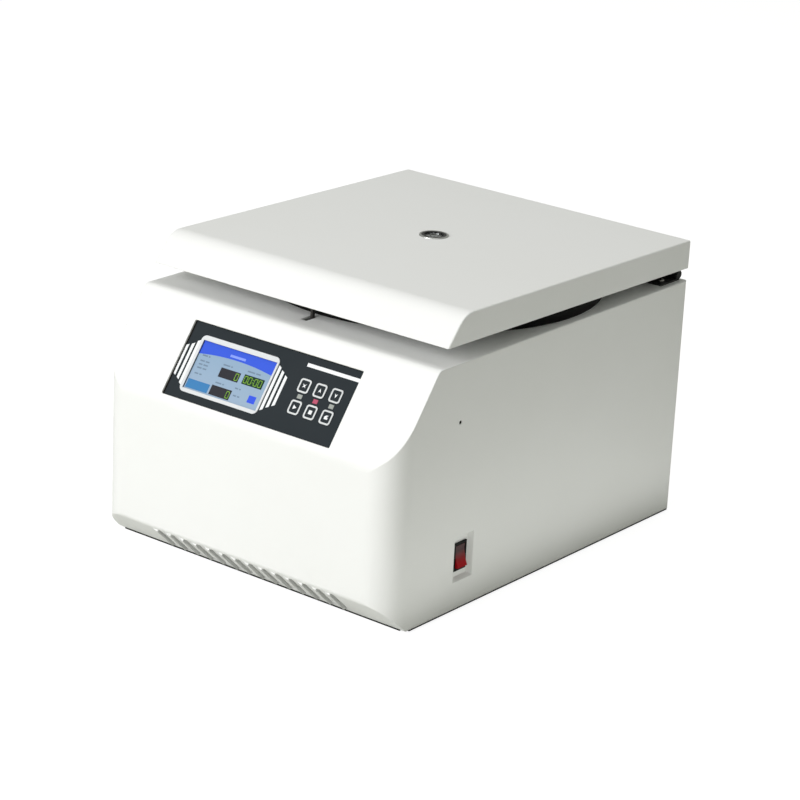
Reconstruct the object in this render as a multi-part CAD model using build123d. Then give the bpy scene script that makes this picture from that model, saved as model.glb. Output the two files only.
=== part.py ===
from build123d import *
import os
from math import cos, hypot, radians, sin, sqrt, tan

os.makedirs("parts", exist_ok=True)

# All sizes in millimetres. X runs to the right seen from the front, Y to the back, Z up.
# The origin is on the table, under the middle of the casing.

# Casing
BODY_WIDTH = 400.0
BODY_LENGTH = 512.0
DECK_HEIGHT = 273.0        # table to the flat deck round the chamber
BEND_HEIGHT = 181.7        # table to the line where front face and control face meet
SLANT_ANGLE = 36.2         # control face, measured from the vertical
EDGE_LIFT = 3.0            # table to the lower edge of the casing
BEVEL_DEPTH = 32.0         # undercut along the foot of the front face
BEVEL_RISE = 30.0
CORNER_RADIUS = 33.0       # upright front corners
REAR_RADIUS = 5.0          # upright rear corners
BEND_RADIUS = 24.0
DECK_EDGE_RADIUS = 9.0
BEVEL_RADIUS = 6.0
WALL = 3.0

# Air slots in the undercut
LOUVRES = 14
LOUVRE_PITCH = 18.4
LOUVRE_SHIFT = 6.0         # middle of the row, to the right of the casing's middle
LOUVRE_SLOT = 4.4
LOUVRE_LENGTH = 35.0
HOOD_WIDTH = 12.0
HOOD_RISE = 2.2
HOOD_ROOT = 0.5            # part of the hood inside the wall

# Base, feet and fixings
PLATE_HEIGHT = 6.0         # table to the underside of the base plate
PLATE = 2.5
PLATE_GAP = 0.6            # between base plate and casing
BASE_VENTS = 9
BASE_VENT_LENGTH = 120.0
BASE_VENT_WIDTH = 6.0
BASE_VENT_PITCH = 12.0
BASE_VENT_Y = -96.0        # front edge of the first slot
FOOT_ROUND = 1.5
FOOT_RADIUS = 15.0
FOOT_INSET_X = 45.0
FOOT_INSET_Y = 62.0
LUG = 16.0
LUG_HEIGHT = 14.0
LUG_PLACES = (-150.0, 30.0, 190.0)
SCREW_RADIUS = 2.0
SCREW_HEAD = 3.8
SCREW_HEAD_RISE = 1.8
SCREW_GAP = 0.1
FOOT_THREAD = 8.0          # screw length past the base plate
REAR_THREAD = 10.0         # screw length past the rear panel
REAR_BOSS = 12.0
REAR_BOSS_LENGTH = 18.0
REAR_BOSS_Z = (30.0, 130.0, 240.0)

# Rear panel
REAR_SET = 2.0             # panel face, in from the casing's rear edge
REAR_PLATE = 2.0
REAR_GAP = 0.4
VENT_SLOT = 5.0
VENT_PITCH = 10.0
VENT_LENGTH = 60.0
VENT_COUNT = 13
VENT_INSET = 130.0         # middle of the slots, in from the right side
VENT_CENTRE_Z = 190.0

# Chamber
ROTOR_Y = 51.0             # spin axis, back from the middle of the casing
BOWL_RADIUS = 160.0
BOWL_FLOOR = 124.0
BOWL_CORNER = 22.0
BOWL_SHEET = 1.5
BOWL_GAP = 3.0             # bowl to deck opening
FLANGE_RADIUS = 181.0
FLANGE_GAP = 0.3           # flange edge to the gasket's skirt
GASKET_INNER = 164.0
GASKET_OUTER = 189.0
GASKET_RISE = 12.0
GASKET_CROWN = 5.0
GUARD_GAP = 3.0            # bowl to guard ring
GUARD_SHEET = 5.0
GUARD_TOP_GAP = 4.0
CARRIER_HEIGHT = 112.0     # table to the underside of the motor carrier plate
CARRIER_PLATE = 4.0
CARRIER_RIM = 6.5          # carrier plate beyond the guard ring
POST_RADIUS = 8.0
POST_SPREAD = 110.0
SHAFT_HOLE = 24.0

# Motor and shaft
SHAFT_RADIUS = 8.0
RUN_GAP = 0.3
FIT_GAP = 0.05
MOTOR_RADIUS = 55.0
MOTOR_BOTTOM = 26.0
MOTOR_TOP = 98.0
MOTOR_FLANGE = 6.0
MOTOR_FLANGE_RADIUS = 72.0
MOTOR_GROOVES = 20
MOTOR_GROOVE = 3.0
MOTOR_GROOVE_DEPTH = 2.0
MOTOR_GROOVE_END = 6.0
CAP_RADIUS = 50.0
CAP_DEPTH = 8.0
BEARING_RADIUS = 16.0
BEARING_WIDTH = 6.0
MOTOR_BORE = 22.0
DAMPER_RADIUS = 8.0
DAMPER_CIRCLE = 63.0
DAMPER_COUNT = 4
BOLT_RADIUS = 2.5
BOLT_HEAD = 4.5
BOLT_HEAD_DEPTH = 3.0
BOOT_RADIUS = 19.7
BOOT_FLANGE = 27.0
BOOT_RISE = 12.0

# Rotor
ROTOR_SEAT = 146.0         # table to the collar that carries the rotor
COLLAR_RADIUS = 14.0
COLLAR = 4.0
ROTOR_HUB = 30.0
ROTOR_TOP_RADIUS = 90.0
ROTOR_WAIST = 122.0
ROTOR_FOOT = 104.0
ROTOR_HEIGHT = 61.0
ROTOR_BELLY = 14.0
TUBE_HOLES = 12
TUBE_RADIUS = 8.6
TUBE_CIRCLE = 66.0
TUBE_TILT = 30.0
TUBE_DEPTH = 56.0
COVER_RADIUS = 94.0
COVER = 2.5
COVER_RIM = 5.0
KNOB_RADIUS = 16.0
KNOB_HEIGHT = 20.0
KNOB_GRIPS = 12
KNOB_GRIP = 2.0
THREAD_RADIUS = 5.0
THREAD_LENGTH = 12.0

# Lid
LID_HALF = 199.4
LID_FRONT = -177.4         # lower front edge of the closed lid
LID_THICK = 31.6
LID_LEAN = 38.9            # front face of the lid, from the vertical
LID_NOSE = 27.0
LID_SHEET = 2.0
LID_EDGE = 1.6
LID_GAP = 14.3             # deck to the closed lid
LID_AJAR = 0.784           # degrees that the lid stands open at rest
LINER = 2.0
LINER_SET = 0.5            # liner face, up from the lid's lower edge
LINER_GAP = 0.4
LINER_DISC = 155.0
LINER_DISC_DROP = 8.0
LINER_SCREW = 11.0
LID_BOSS = 5.0
BOSS_DEPTH = 12.0          # screw hole in a lid boss
FRONT_BOSS_X = 29.4        # front bosses, in from the lid's side
FRONT_BOSS_Y = 37.4        # and back from its front edge
SIDE_BOSS_X = 11.4
SIDE_BOSS_Y = 111.0        # side bosses, ahead of the spin axis
REAR_BOSS_X = 90.0         # rear bosses, out from the middle
REAR_BOSS_Y = 31.0         # and in from the casing's rear edge

# Sight glass in the lid
SIGHT_BEZEL = 16.5
SIGHT_TUBE = 12.8
SIGHT_BORE = 10.8
SIGHT_LEDGE = 9.3
SIGHT_PROUD = 1.0
SIGHT_GLASS = 2.0
SIGHT_SET = 1.4            # glass face, down from the bezel's face

# Lid hinges
PIVOT_INSET = 6.0          # casing's rear edge to the hinge axis
PIVOT_RISE = 6.0           # deck to the hinge axis
HINGE_X = 162.0
HINGE_WIDTH = 60.0
KNUCKLE = 4.5
PIN = 2.5
LEAF = 2.0
LEAF_REACH = 36.0
KNUCKLE_GAP = 0.3

# Lid hook and lock
HOOK_Y = -149.0
HOOK_STEM = 4.0
HOOK_THICK = 3.0
HOOK_TOE = 11.0
HOOK_FOOT = 2.2
HOOK_PAD = 2.5
HOOK_PAD_X = 15.0
HOOK_PAD_Y = 20.0
HOOK_PAD_FRONT = 13.0      # pad's front edge, ahead of the hook
SLOT_WIDTH = 8.0
SLOT_MARGIN = 1.8
TONGUE = 2.2
TONGUE_WIDTH = 8.0
TONGUE_STEM_GAP = 1.0      # tongue to the hook's stem
TONGUE_GAP = 0.45          # above and below the tongue
TONGUE_REST = 2.0          # tongue tip to the hook while unlocked
TONGUE_TRAVEL = 8.0
DECK_TONGUE_GAP = 1.45
SOLENOID_X = 22.0
SOLENOID_LENGTH = 42.0
SOLENOID_WIDTH = 20.0
SOLENOID_HEIGHT = 24.0
SOLENOID_PLATE = 2.0
SOLENOID_BACK = 7.0        # plunger axis, back from the tongue
SOLENOID_EAR = 10.0
SOLENOID_FLANGE = 2.5
SOLENOID_END = 3.0
PLUNGER_RADIUS = 5.0
PLUNGER_LENGTH = 32.0
YOKE = 4.0
SENSOR_GAP = 3.0           # hook slot to the small switch
SENSOR_FRONT = 10.0        # ahead of the hook
SENSOR_LENGTH = 20.0
SENSOR_WIDTH = 10.0
SENSOR_HEIGHT = 16.0
LEVER_WIDTH = 4.0
LEVER_THICK = 2.0
LEVER_DROP = 12.0
LEVER_LENGTH = 7.5
LEVER_REACH = 1.5

# Control panel, placed up the slope from the bend line
PANEL_WIDTH = 229.0
PANEL_LENGTH = 86.0
PANEL_FOOT = 4.7
PANEL_X = -0.3
PANEL_SET = 1.8            # panel face, in from the casing's face
PANEL_SHEET = 1.2
PANEL_GAP = 0.3
PANEL_CORNER = 1.5
BEZEL_WIDTH = 107.5
BEZEL_LENGTH = 64.5
BEZEL_X = -43.25
BEZEL_UP = 45.95
BEZEL_RISE = 0.8
BEZEL_CORNER = 6.0
SCREEN_WIDTH = 101.5
SCREEN_LENGTH = 55.0
SCREEN_X = -42.75
SCREEN_UP = 45.2
SCREEN_MARGIN = 3.0
SCREEN_DEPTH = 7.0
BACKER = 3.0
BACKER_RIM = 9.0
KEY_WIDTH = 14.5
KEY_LENGTH = 15.5
KEY_CORNER = 3.0
KEY_PROUD = 0.4
KEY_LIP = 1.5
KEY_GAP = 0.3
KEY_TRAVEL = 0.5
KEY_COLUMNS = (52.0, 72.8, 93.8)
KEY_ROWS = (58.1, 33.9)
LAMP_WIDTH = 6.0
LAMP_LENGTH = 4.5
LAMP_UP = 46.1
LAMP_PROUD = 0.1
KEYPAD_BOARD = 1.6
KEYPAD_MARGIN = 5.0
STUD_LOW = 12.0            # lower studs, up from the plate's foot
STUD_HIGH = 8.0            # upper studs, down from its top
STUD_RADIUS = 2.0
STUD_LENGTH = 7.0
NUT_RADIUS = 3.6
NUT = 3.0
BOARD_DEPTH = 26.0
BOARD_WIDTH = 214.0
BOARD_X = -5.0
BOARD_LENGTH = 70.0
SPACER_RADIUS = 3.0
SPACER_INSET = 5.0
BOARD_PARTS = ((-60.0, 10.0, 22.0, 22.0, 4.0), (-15.0, -8.0, 30.0, 12.0, 8.0), (35.0, 12.0, 14.0, 14.0, 12.0))

# Power switch in the right side
SWITCH_Y = -133.0
SWITCH_Z = 58.0
RECESS_WIDTH = 32.0
RECESS_HEIGHT = 50.0
RECESS_DEPTH = 5.5
RECESS_DRAFT = 28.0
SWITCH_WIDTH = 20.0
SWITCH_HEIGHT = 31.0
SWITCH_FLANGE = 1.6
SWITCH_BODY = 22.0
SWITCH_NECK = 0.6          # body to flange edge
SWITCH_FLOOR = 4.0
ROCKER_WIDTH = 15.6
ROCKER_HEIGHT = 24.0
ROCKER_RISE = 3.4
ROCKER_DIP = 1.6
ROCKER_DEPTH = 5.0
ROCKER_TILT = 10.0
ROCKER_GAP = 0.3
ROCKER_END_GAP = 1.0
TRUNNION = 1.5
TRUNNION_SKIN = 0.3        # switch wall left outside the trunnion's hole
RELEASE_Y = -151.0
RELEASE_Z = 209.7
RELEASE_RADIUS = 2.0
RELEASE_SET = 0.4
RELEASE_HEAD = 2.0

# Rear fan, inlet and fuse
FAN_INSET = 105.0          # fan's middle, in from the left side
FAN_TOP_GAP = 4.0          # fan to the height of the carrier plate
FAN_SIZE = 92.0
FAN_DEPTH = 25.0
FAN_BORE = 43.0
FAN_HUB = 17.0
FAN_BLADES = 7
FAN_PITCH = 38.0
FAN_BLADE = 1.6
FAN_TIP_GAP = 1.5
FAN_AXLE = 2.0
FAN_AXLE_END = 6.0         # rear panel to the axle's end
FAN_SPIDER = 3.0
FAN_ARM = 4.0
FAN_START_GAP = 0.5
FAN_END_GAP = 4.0
FAN_ROOT = 2.0             # blade inside the hub
INLET_INSET = 80.0         # inlet's middle, in from the right side
INLET_Z = 62.0
INLET_WIDTH = 48.0
INLET_HEIGHT = 24.0
INLET_SOCKET_WIDTH = 24.5
INLET_SOCKET_HEIGHT = 16.5
INLET_WALL = 1.8
INLET_FLOOR = 3.0
INLET_CORNER = 6.0
INLET_SCREWS = 40.0
SOCKET_CORNER = 3.0
INLET_DEPTH = 17.0
BLADE_LENGTH = 11.0
BLADE_WIDTH = 2.0
BLADE_HEIGHT = 4.0
INLET_BLADES = ((-7.0, -2.0), (7.0, -2.0), (0.0, 2.5))
FUSE_SPACE = 50.0          # inlet to fuse holder
FUSE_CAP = 1.0
FUSE_SLOT = 1.4
FUSE_RADIUS = 6.5
FUSE_FLANGE = 9.0
FUSE_DEPTH = 30.0

# Power electronics on the base plate
CORE_INSET = 75.0          # transformer's middle, in from the left side
CORE_FRONT = 116.0         # and back from the casing's front
CORE_WIDTH = 78.0
CORE_DEPTH = 44.0
CORE_HEIGHT = 64.0
COIL_WALL = 12.0
SINK_INSET = 105.0         # heat sink's middle, in from the right side
SINK_FRONT = 91.0          # and back from the casing's front
SINK_WIDTH = 100.0
SINK_DEPTH = 78.0
SINK_HEIGHT = 34.0
SINK_BASE = 5.0
SINK_FIN = 2.0
SINK_FINS = 11
DRIVE_BOARD = 1.6
CAN_RADIUS = 9.0
CAN_HEIGHT = 28.0
CAN_PLACES = ((-30.0, -18.0), (-30.0, 8.0), (-5.0, -18.0))
MODULE_SIZE = 30.0
MODULE_HEIGHT = 16.0
MODULE_PLACE = (25.0, 5.0)

# Places that follow from the sizes above
SIDE = BODY_WIDTH / 2
FRONT = -BODY_LENGTH / 2
REAR = BODY_LENGTH / 2
LEAN = radians(SLANT_ANGLE)
PLATE_TOP = PLATE_HEIGHT + PLATE
PIVOT_Y = REAR - PIVOT_INSET
PIVOT_Z = DECK_HEIGHT + PIVOT_RISE
LID_LOW = DECK_HEIGHT + LID_GAP
LID_TOP = LID_LOW + LID_THICK
LINER_LOW = LID_LOW + LINER_SET
DECK_UNDER = DECK_HEIGHT - WALL
TONGUE_TOP = DECK_UNDER - DECK_TONGUE_GAP
TONGUE_LOW = TONGUE_TOP - TONGUE
REAR_FACE = REAR - REAR_SET
REAR_INNER = REAR_FACE - REAR_PLATE
GUARD_INNER = BOWL_RADIUS + BOWL_SHEET + GUARD_GAP
GUARD_OUTER = GUARD_INNER + GUARD_SHEET
CARRIER_RADIUS = GUARD_OUTER + CARRIER_RIM
VENT_X = SIDE - VENT_INSET
FAN_X = FAN_INSET - SIDE
FAN_Z = CARRIER_HEIGHT - FAN_TOP_GAP - FAN_SIZE / 2
INLET_X = SIDE - INLET_INSET
FUSE_X = INLET_X - FUSE_SPACE
CORE_X = CORE_INSET - SIDE
CORE_Y = FRONT + CORE_FRONT
SINK_X = SIDE - SINK_INSET
SINK_Y = FRONT + SINK_FRONT
TONGUE_Y = HOOK_Y - HOOK_STEM / 2 - TONGUE_STEM_GAP - TONGUE_WIDTH / 2
PLUNGER_Y = TONGUE_Y + SOLENOID_BACK
LID_AXIS = Axis((0, PIVOT_Y, PIVOT_Z), (-1, 0, 0))
SLANT = Plane(origin=(0, FRONT, BEND_HEIGHT), x_dir=(1, 0, 0), z_dir=(0, -cos(LEAN), sin(LEAN)))
BEVEL_SLOPE = hypot(BEVEL_DEPTH, BEVEL_RISE)
BEVEL = Plane(origin=(0, FRONT + BEVEL_DEPTH / 2, EDGE_LIFT + BEVEL_RISE / 2), x_dir=(1, 0, 0),
              z_dir=(0, -BEVEL_RISE, -BEVEL_DEPTH))


def block(x0, x1, y0, y1, z0, z1):
    """Box between two opposite corners."""
    return Pos((x0 + x1) / 2, (y0 + y1) / 2, (z0 + z1) / 2) * Box(x1 - x0, y1 - y0, z1 - z0)


def rod(radius, z0, z1, x=0.0, y=0.0):
    """Upright cylinder from z0 to z1."""
    return Pos(x, y, (z0 + z1) / 2) * Cylinder(radius, z1 - z0)


def rod_x(radius, x0, x1, y, z):
    """Cylinder along X."""
    return Pos((x0 + x1) / 2, y, z) * Rot(0, 90, 0) * Cylinder(radius, x1 - x0)


def rod_y(radius, y0, y1, x, z):
    """Cylinder along Y."""
    return Pos(x, (y0 + y1) / 2, z) * Rot(90, 0, 0) * Cylinder(radius, y1 - y0)


def slab(width, length, x, up, top, thick, corner=0.0):
    """Plate parallel to the control face; top and thick are measured along its normal."""
    outline = RectangleRounded(width, length, corner) if corner else Rectangle(width, length)
    return SLANT * Pos(x, up, top - thick) * extrude(outline, thick)


def turned(points):
    """Solid of revolution about Z from an outline of (radius, height) points."""
    face = make_face(Polyline(*[(r, 0, z) for r, z in points], close=True))
    return revolve(face, Axis.Z)


def at_rotor(solid):
    """Moves a solid built about Z onto the spin axis."""
    return Pos(0, ROTOR_Y, 0) * solid


def side_sheet(points, half, rounds):
    """Extrudes a (y, z) outline along X, with the named corners rounded first."""
    face = make_face(Polyline(*[(0, y, z) for y, z in points], close=True))
    for index, radius in rounds:
        y, z = points[index]
        corner = face.vertices().sort_by_distance((0, y, z))[0]
        face = fillet(corner, radius)
    return extrude(face, half, dir=(1, 0, 0), both=True)


def casing_form(inset, low):
    """Casing block, drawn in by inset from every outer face, with its underside at low."""
    reach = 1 + inset * BEVEL_SLOPE / (BEVEL_DEPTH * BEVEL_RISE)
    foot_y = FRONT + BEVEL_DEPTH * (reach - (low - EDGE_LIFT) / BEVEL_RISE)
    knee_z = EDGE_LIFT + BEVEL_RISE * (reach - inset / BEVEL_DEPTH)
    bend_z = BEND_HEIGHT - inset * (1 / cos(LEAN) - 1) / tan(LEAN)
    deck_z = DECK_HEIGHT - inset
    deck_y = FRONT + (deck_z - BEND_HEIGHT) * tan(LEAN) + inset / cos(LEAN)
    outline = [(foot_y, low), (FRONT + inset, knee_z), (FRONT + inset, bend_z),
               (deck_y, deck_z), (REAR - inset, deck_z), (REAR - inset, low)]
    rounds = [(1, BEVEL_RADIUS - inset), (2, BEND_RADIUS - inset), (3, DECK_EDGE_RADIUS - inset)]
    block_form = side_sheet(outline, SIDE - inset, rounds)
    plan = Rectangle(BODY_WIDTH - 2 * inset, BODY_LENGTH - 2 * inset)
    front_corners = plan.vertices().group_by(Axis.Y)[0]
    plan = fillet(front_corners, CORNER_RADIUS - inset)
    rear_corners = plan.vertices().group_by(Axis.Y)[-1]
    plan = fillet(rear_corners, REAR_RADIUS - inset)
    return block_form & (Pos(0, 0, low) * extrude(plan, DECK_HEIGHT))


def louvre_places():
    """X of each air slot in the undercut."""
    first = LOUVRE_SHIFT - LOUVRE_PITCH * (LOUVRES - 1) / 2
    return [first + LOUVRE_PITCH * i for i in range(LOUVRES)]


def lug_places():
    """Middle of each casing lug that a base screw goes into."""
    x = SIDE - WALL - LUG / 2
    return [(sx * x, y) for sx in (-1, 1) for y in LUG_PLACES]


def rear_screw_places():
    """Middle of each screw in the rear panel."""
    x = SIDE - WALL - REAR_BOSS / 2
    return [(sx * x, z) for sx in (-1, 1) for z in REAR_BOSS_Z]


def stud_places():
    """Studs behind the control face that hold the panel backer."""
    x = PANEL_WIDTH / 2 + BACKER_RIM / 2
    top = PANEL_FOOT + PANEL_LENGTH
    return [(PANEL_X + sx * x, up) for sx in (-1, 1) for up in (PANEL_FOOT + STUD_LOW, top - STUD_HIGH)]


def hook_reach():
    """Front and back of the hook's foot."""
    return HOOK_Y - HOOK_STEM / 2 - HOOK_TOE, HOOK_Y + HOOK_STEM / 2


def recess_form(grow, depth):
    """Tapered pocket in the right side, grown outwards by grow."""
    mouth = Plane(origin=(SIDE, SWITCH_Y, SWITCH_Z), x_dir=(0, 1, 0), z_dir=(-1, 0, 0))
    outline = Rectangle(RECESS_WIDTH + 2 * grow, RECESS_HEIGHT + 2 * grow)
    return mouth * extrude(outline, depth, taper=RECESS_DRAFT)


def outer_shell():
    """Moulded casing: front, control face, deck and sides in one piece, open below and behind."""
    form = casing_form(0, EDGE_LIFT)
    for x in louvre_places():
        outline = Polyline((-HOOD_WIDTH, 0, -HOOD_ROOT), (0, 0, -HOOD_ROOT), (0, 0, HOOD_RISE), close=True)
        hood = make_face(outline)
        hood = extrude(hood, LOUVRE_LENGTH / 2, dir=(0, 1, 0), both=True)
        form += BEVEL * Pos(x - LOUVRE_SLOT / 2, 0, 0) * hood
    low = EDGE_LIFT - WALL
    hollow = casing_form(WALL, low)
    open_back = Rectangle(BODY_WIDTH - 2 * WALL, DECK_HEIGHT - WALL - low)
    open_back = Plane.XZ * Pos(0, (DECK_HEIGHT - WALL + low) / 2, 0) * open_back
    hollow += Pos(0, REAR + WALL, 0) * extrude(open_back, WALL + REAR_RADIUS + REAR_SET)
    form -= hollow
    for x in louvre_places():
        form -= BEVEL * Pos(x, 0, -2 * WALL) * Box(LOUVRE_SLOT, LOUVRE_LENGTH, 5 * WALL)
    form -= rod(BOWL_RADIUS + BOWL_SHEET + BOWL_GAP, DECK_UNDER - WALL, DECK_HEIGHT + WALL, 0, ROTOR_Y)
    toe, heel = hook_reach()
    form -= block(-SLOT_WIDTH / 2, SLOT_WIDTH / 2, toe - SLOT_MARGIN, heel + SLOT_MARGIN,
                  DECK_UNDER - WALL, DECK_HEIGHT + WALL)
    form -= slab(PANEL_WIDTH, PANEL_LENGTH, PANEL_X, PANEL_FOOT + PANEL_LENGTH / 2,
                 WALL, 3 * WALL, PANEL_CORNER)
    pocket_skin = recess_form(WALL, RECESS_DEPTH + WALL)
    form += pocket_skin & block(0, SIDE - WALL / 2, FRONT, REAR, 0, DECK_HEIGHT)
    form -= recess_form(0, RECESS_DEPTH)
    neck_y = SWITCH_WIDTH / 2 - SWITCH_NECK + SCREW_GAP
    neck_z = SWITCH_HEIGHT / 2 - SWITCH_NECK + SCREW_GAP
    form -= block(SIDE - 4 * WALL, SIDE, SWITCH_Y - neck_y, SWITCH_Y + neck_y,
                  SWITCH_Z - neck_z, SWITCH_Z + neck_z)
    form -= rod_x(RELEASE_RADIUS + SCREW_GAP, SIDE - 2 * WALL, SIDE + WALL, RELEASE_Y, RELEASE_Z)
    for x, y in lug_places():
        lug = block(x - LUG / 2, x + LUG / 2, y - LUG / 2, y + LUG / 2, PLATE_TOP, PLATE_TOP + LUG_HEIGHT)
        form += lug - rod(SCREW_RADIUS, PLATE_TOP - 1, PLATE_TOP + LUG_HEIGHT - 3, x, y)
    for x, z in rear_screw_places():
        half = REAR_BOSS / 2
        boss = block(x - half, x + half, REAR_INNER - REAR_BOSS_LENGTH, REAR_INNER, z - half, z + half)
        form += boss - rod_y(SCREW_RADIUS, REAR_INNER - REAR_BOSS_LENGTH + 3, REAR_INNER + 1, x, z)
    for x, up in stud_places():
        form += SLANT * Pos(x, up, -WALL - STUD_LENGTH / 2) * Cylinder(STUD_RADIUS, STUD_LENGTH)
    return form


def base_plate():
    """Flat steel bottom that carries the posts, motor frame and electronics."""
    front = FRONT + BEVEL_DEPTH + WALL
    half = SIDE - WALL - PLATE_GAP
    plate = block(-half, half, front, REAR_INNER - PLATE_GAP, PLATE_HEIGHT, PLATE_TOP)
    for x, y in lug_places():
        plate -= rod(SCREW_RADIUS + SCREW_GAP, 0, PLATE_TOP + 1, x, y)
    for i in range(BASE_VENTS):
        y = BASE_VENT_Y + BASE_VENT_PITCH * i
        plate -= block(-BASE_VENT_LENGTH / 2, BASE_VENT_LENGTH / 2, y, y + BASE_VENT_WIDTH, 0, PLATE_TOP + 1)
    return plate


def foot_places():
    """Middle of each rubber foot."""
    x = SIDE - FOOT_INSET_X
    y = REAR - FOOT_INSET_Y
    return [(sx * x, sy * y) for sx in (-1, 1) for sy in (-1, 1)]


def rubber_feet():
    """Four round feet under the base plate."""
    foot = Cylinder(FOOT_RADIUS, PLATE_HEIGHT)
    foot = fillet(foot.edges().group_by(Axis.Z)[0], FOOT_ROUND)
    return Compound([Pos(x, y, PLATE_HEIGHT / 2) * foot for x, y in foot_places()])


def screw(length):
    """Pan-head screw along Z, its seat at z = 0 and its head above."""
    head = Cylinder(SCREW_HEAD, SCREW_HEAD_RISE)
    head = fillet(head.edges().group_by(Axis.Z)[-1], SCREW_HEAD_RISE * 0.5)
    slot_size = SCREW_HEAD * 0.3
    drive = Box(SCREW_HEAD * 1.2, slot_size, SCREW_HEAD_RISE)
    drive += Box(slot_size, SCREW_HEAD * 1.2, SCREW_HEAD_RISE)
    head -= Pos(0, 0, SCREW_HEAD_RISE * 0.6) * drive
    shank = Pos(0, 0, -length / 2) * Cylinder(SCREW_RADIUS - SCREW_GAP, length)
    return Pos(0, 0, SCREW_HEAD_RISE / 2) * head + shank


def shell_screws():
    """Screws from below, through the base plate into the casing lugs."""
    return Compound([Pos(x, y, PLATE_HEIGHT) * Rot(180, 0, 0) * screw(PLATE + FOOT_THREAD) for x, y in lug_places()])


def rear_panel():
    """Steel panel that closes the casing behind, with vents and cut-outs."""
    half = SIDE - WALL - REAR_GAP
    low = EDGE_LIFT + REAR_GAP
    high = DECK_UNDER - REAR_GAP
    panel = block(-half, half, REAR_INNER, REAR_FACE, low, high)
    for x, z in rear_screw_places():
        panel -= rod_y(SCREW_RADIUS + SCREW_GAP, REAR_INNER - 1, REAR + 1, x, z)
    for i in range(VENT_COUNT):
        x = VENT_X + VENT_PITCH * (i - (VENT_COUNT - 1) / 2)
        slot = Plane.XZ * Pos(x, VENT_CENTRE_Z, 0) * SlotOverall(VENT_LENGTH, VENT_SLOT, rotation=90)
        panel -= Pos(0, REAR + 1, 0) * extrude(slot, 2 * REAR_PLATE + 2)
    across = int(FAN_BORE / VENT_PITCH)
    for i in range(-across, across + 1):
        x = VENT_PITCH * i
        chord = 2 * sqrt((FAN_BORE - 2) ** 2 - x ** 2) - VENT_SLOT
        if chord > 2 * VENT_SLOT:
            slot = Plane.XZ * Pos(FAN_X + x, FAN_Z, 0) * SlotOverall(chord, VENT_SLOT, rotation=90)
            panel -= Pos(0, REAR + 1, 0) * extrude(slot, 2 * REAR_PLATE + 2)
    neck_x = INLET_SOCKET_WIDTH / 2 + INLET_WALL + SCREW_GAP
    neck_z = INLET_SOCKET_HEIGHT / 2 + INLET_WALL + SCREW_GAP
    panel -= block(INLET_X - neck_x, INLET_X + neck_x, REAR_INNER - 1, REAR,
                   INLET_Z - neck_z, INLET_Z + neck_z)
    for sx in (-1, 1):
        panel -= rod_y(SCREW_RADIUS, REAR_INNER - 1, REAR, INLET_X + sx * INLET_SCREWS / 2, INLET_Z)
    panel -= rod_y(FUSE_RADIUS + SCREW_GAP, REAR_INNER - 1, REAR, FUSE_X, INLET_Z)
    return panel


def rear_screws():
    """Screws that hold the rear panel to the casing bosses."""
    return Compound([Pos(x, REAR_FACE, z) * Rot(-90, 0, 0) * screw(REAR_PLATE + REAR_THREAD)
                     for x, z in rear_screw_places()])


def fan_frame():
    """Square fan housing with its three-arm motor spider, behind the rear panel."""
    inner = REAR_INNER - FAN_DEPTH
    half = FAN_SIZE / 2
    frame = block(FAN_X - half, FAN_X + half, inner, REAR_INNER, FAN_Z - half, FAN_Z + half)
    frame -= rod_y(FAN_BORE, inner - 1, REAR_INNER + 1, FAN_X, FAN_Z)
    frame += rod_y(FAN_HUB, inner, inner + FAN_SPIDER, FAN_X, FAN_Z)
    for angle in (90, 210, 330):
        arm = Pos(0, 0, (FAN_HUB + FAN_BORE) / 2) * Box(FAN_ARM, FAN_SPIDER, FAN_BORE - FAN_HUB + FAN_ARM)
        frame += Pos(FAN_X, inner + FAN_SPIDER / 2, FAN_Z) * Rot(0, angle, 0) * arm
    return frame + rod_y(FAN_AXLE, inner, REAR_INNER - FAN_AXLE_END, FAN_X, FAN_Z)


def fan_impeller():
    """Hub and seven pitched blades that turn on the fan's axle."""
    start = REAR_INNER - FAN_DEPTH + FAN_SPIDER + FAN_START_GAP
    end = REAR_INNER - FAN_END_GAP
    hub = rod_y(FAN_HUB, start, end, FAN_X, FAN_Z)
    blade_length = FAN_BORE - FAN_TIP_GAP - FAN_HUB + FAN_ROOT
    width = (end - start - FAN_BLADE) / cos(radians(FAN_PITCH)) * 0.92
    for i in range(FAN_BLADES):
        blade = Rot(0, 0, FAN_PITCH) * Box(FAN_BLADE, width, blade_length)
        blade = Pos(0, 0, FAN_HUB - FAN_ROOT + blade_length / 2) * blade
        hub += Pos(FAN_X, (start + end) / 2, FAN_Z) * Rot(0, 360 / FAN_BLADES * i, 0) * blade
    round_tip = rod_y(FAN_BORE - FAN_TIP_GAP, start, end, FAN_X, FAN_Z)
    hub &= round_tip
    return hub - rod_y(FAN_AXLE + FIT_GAP, start - 1, REAR_INNER - FAN_AXLE_END + FAN_START_GAP, FAN_X, FAN_Z)


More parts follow.
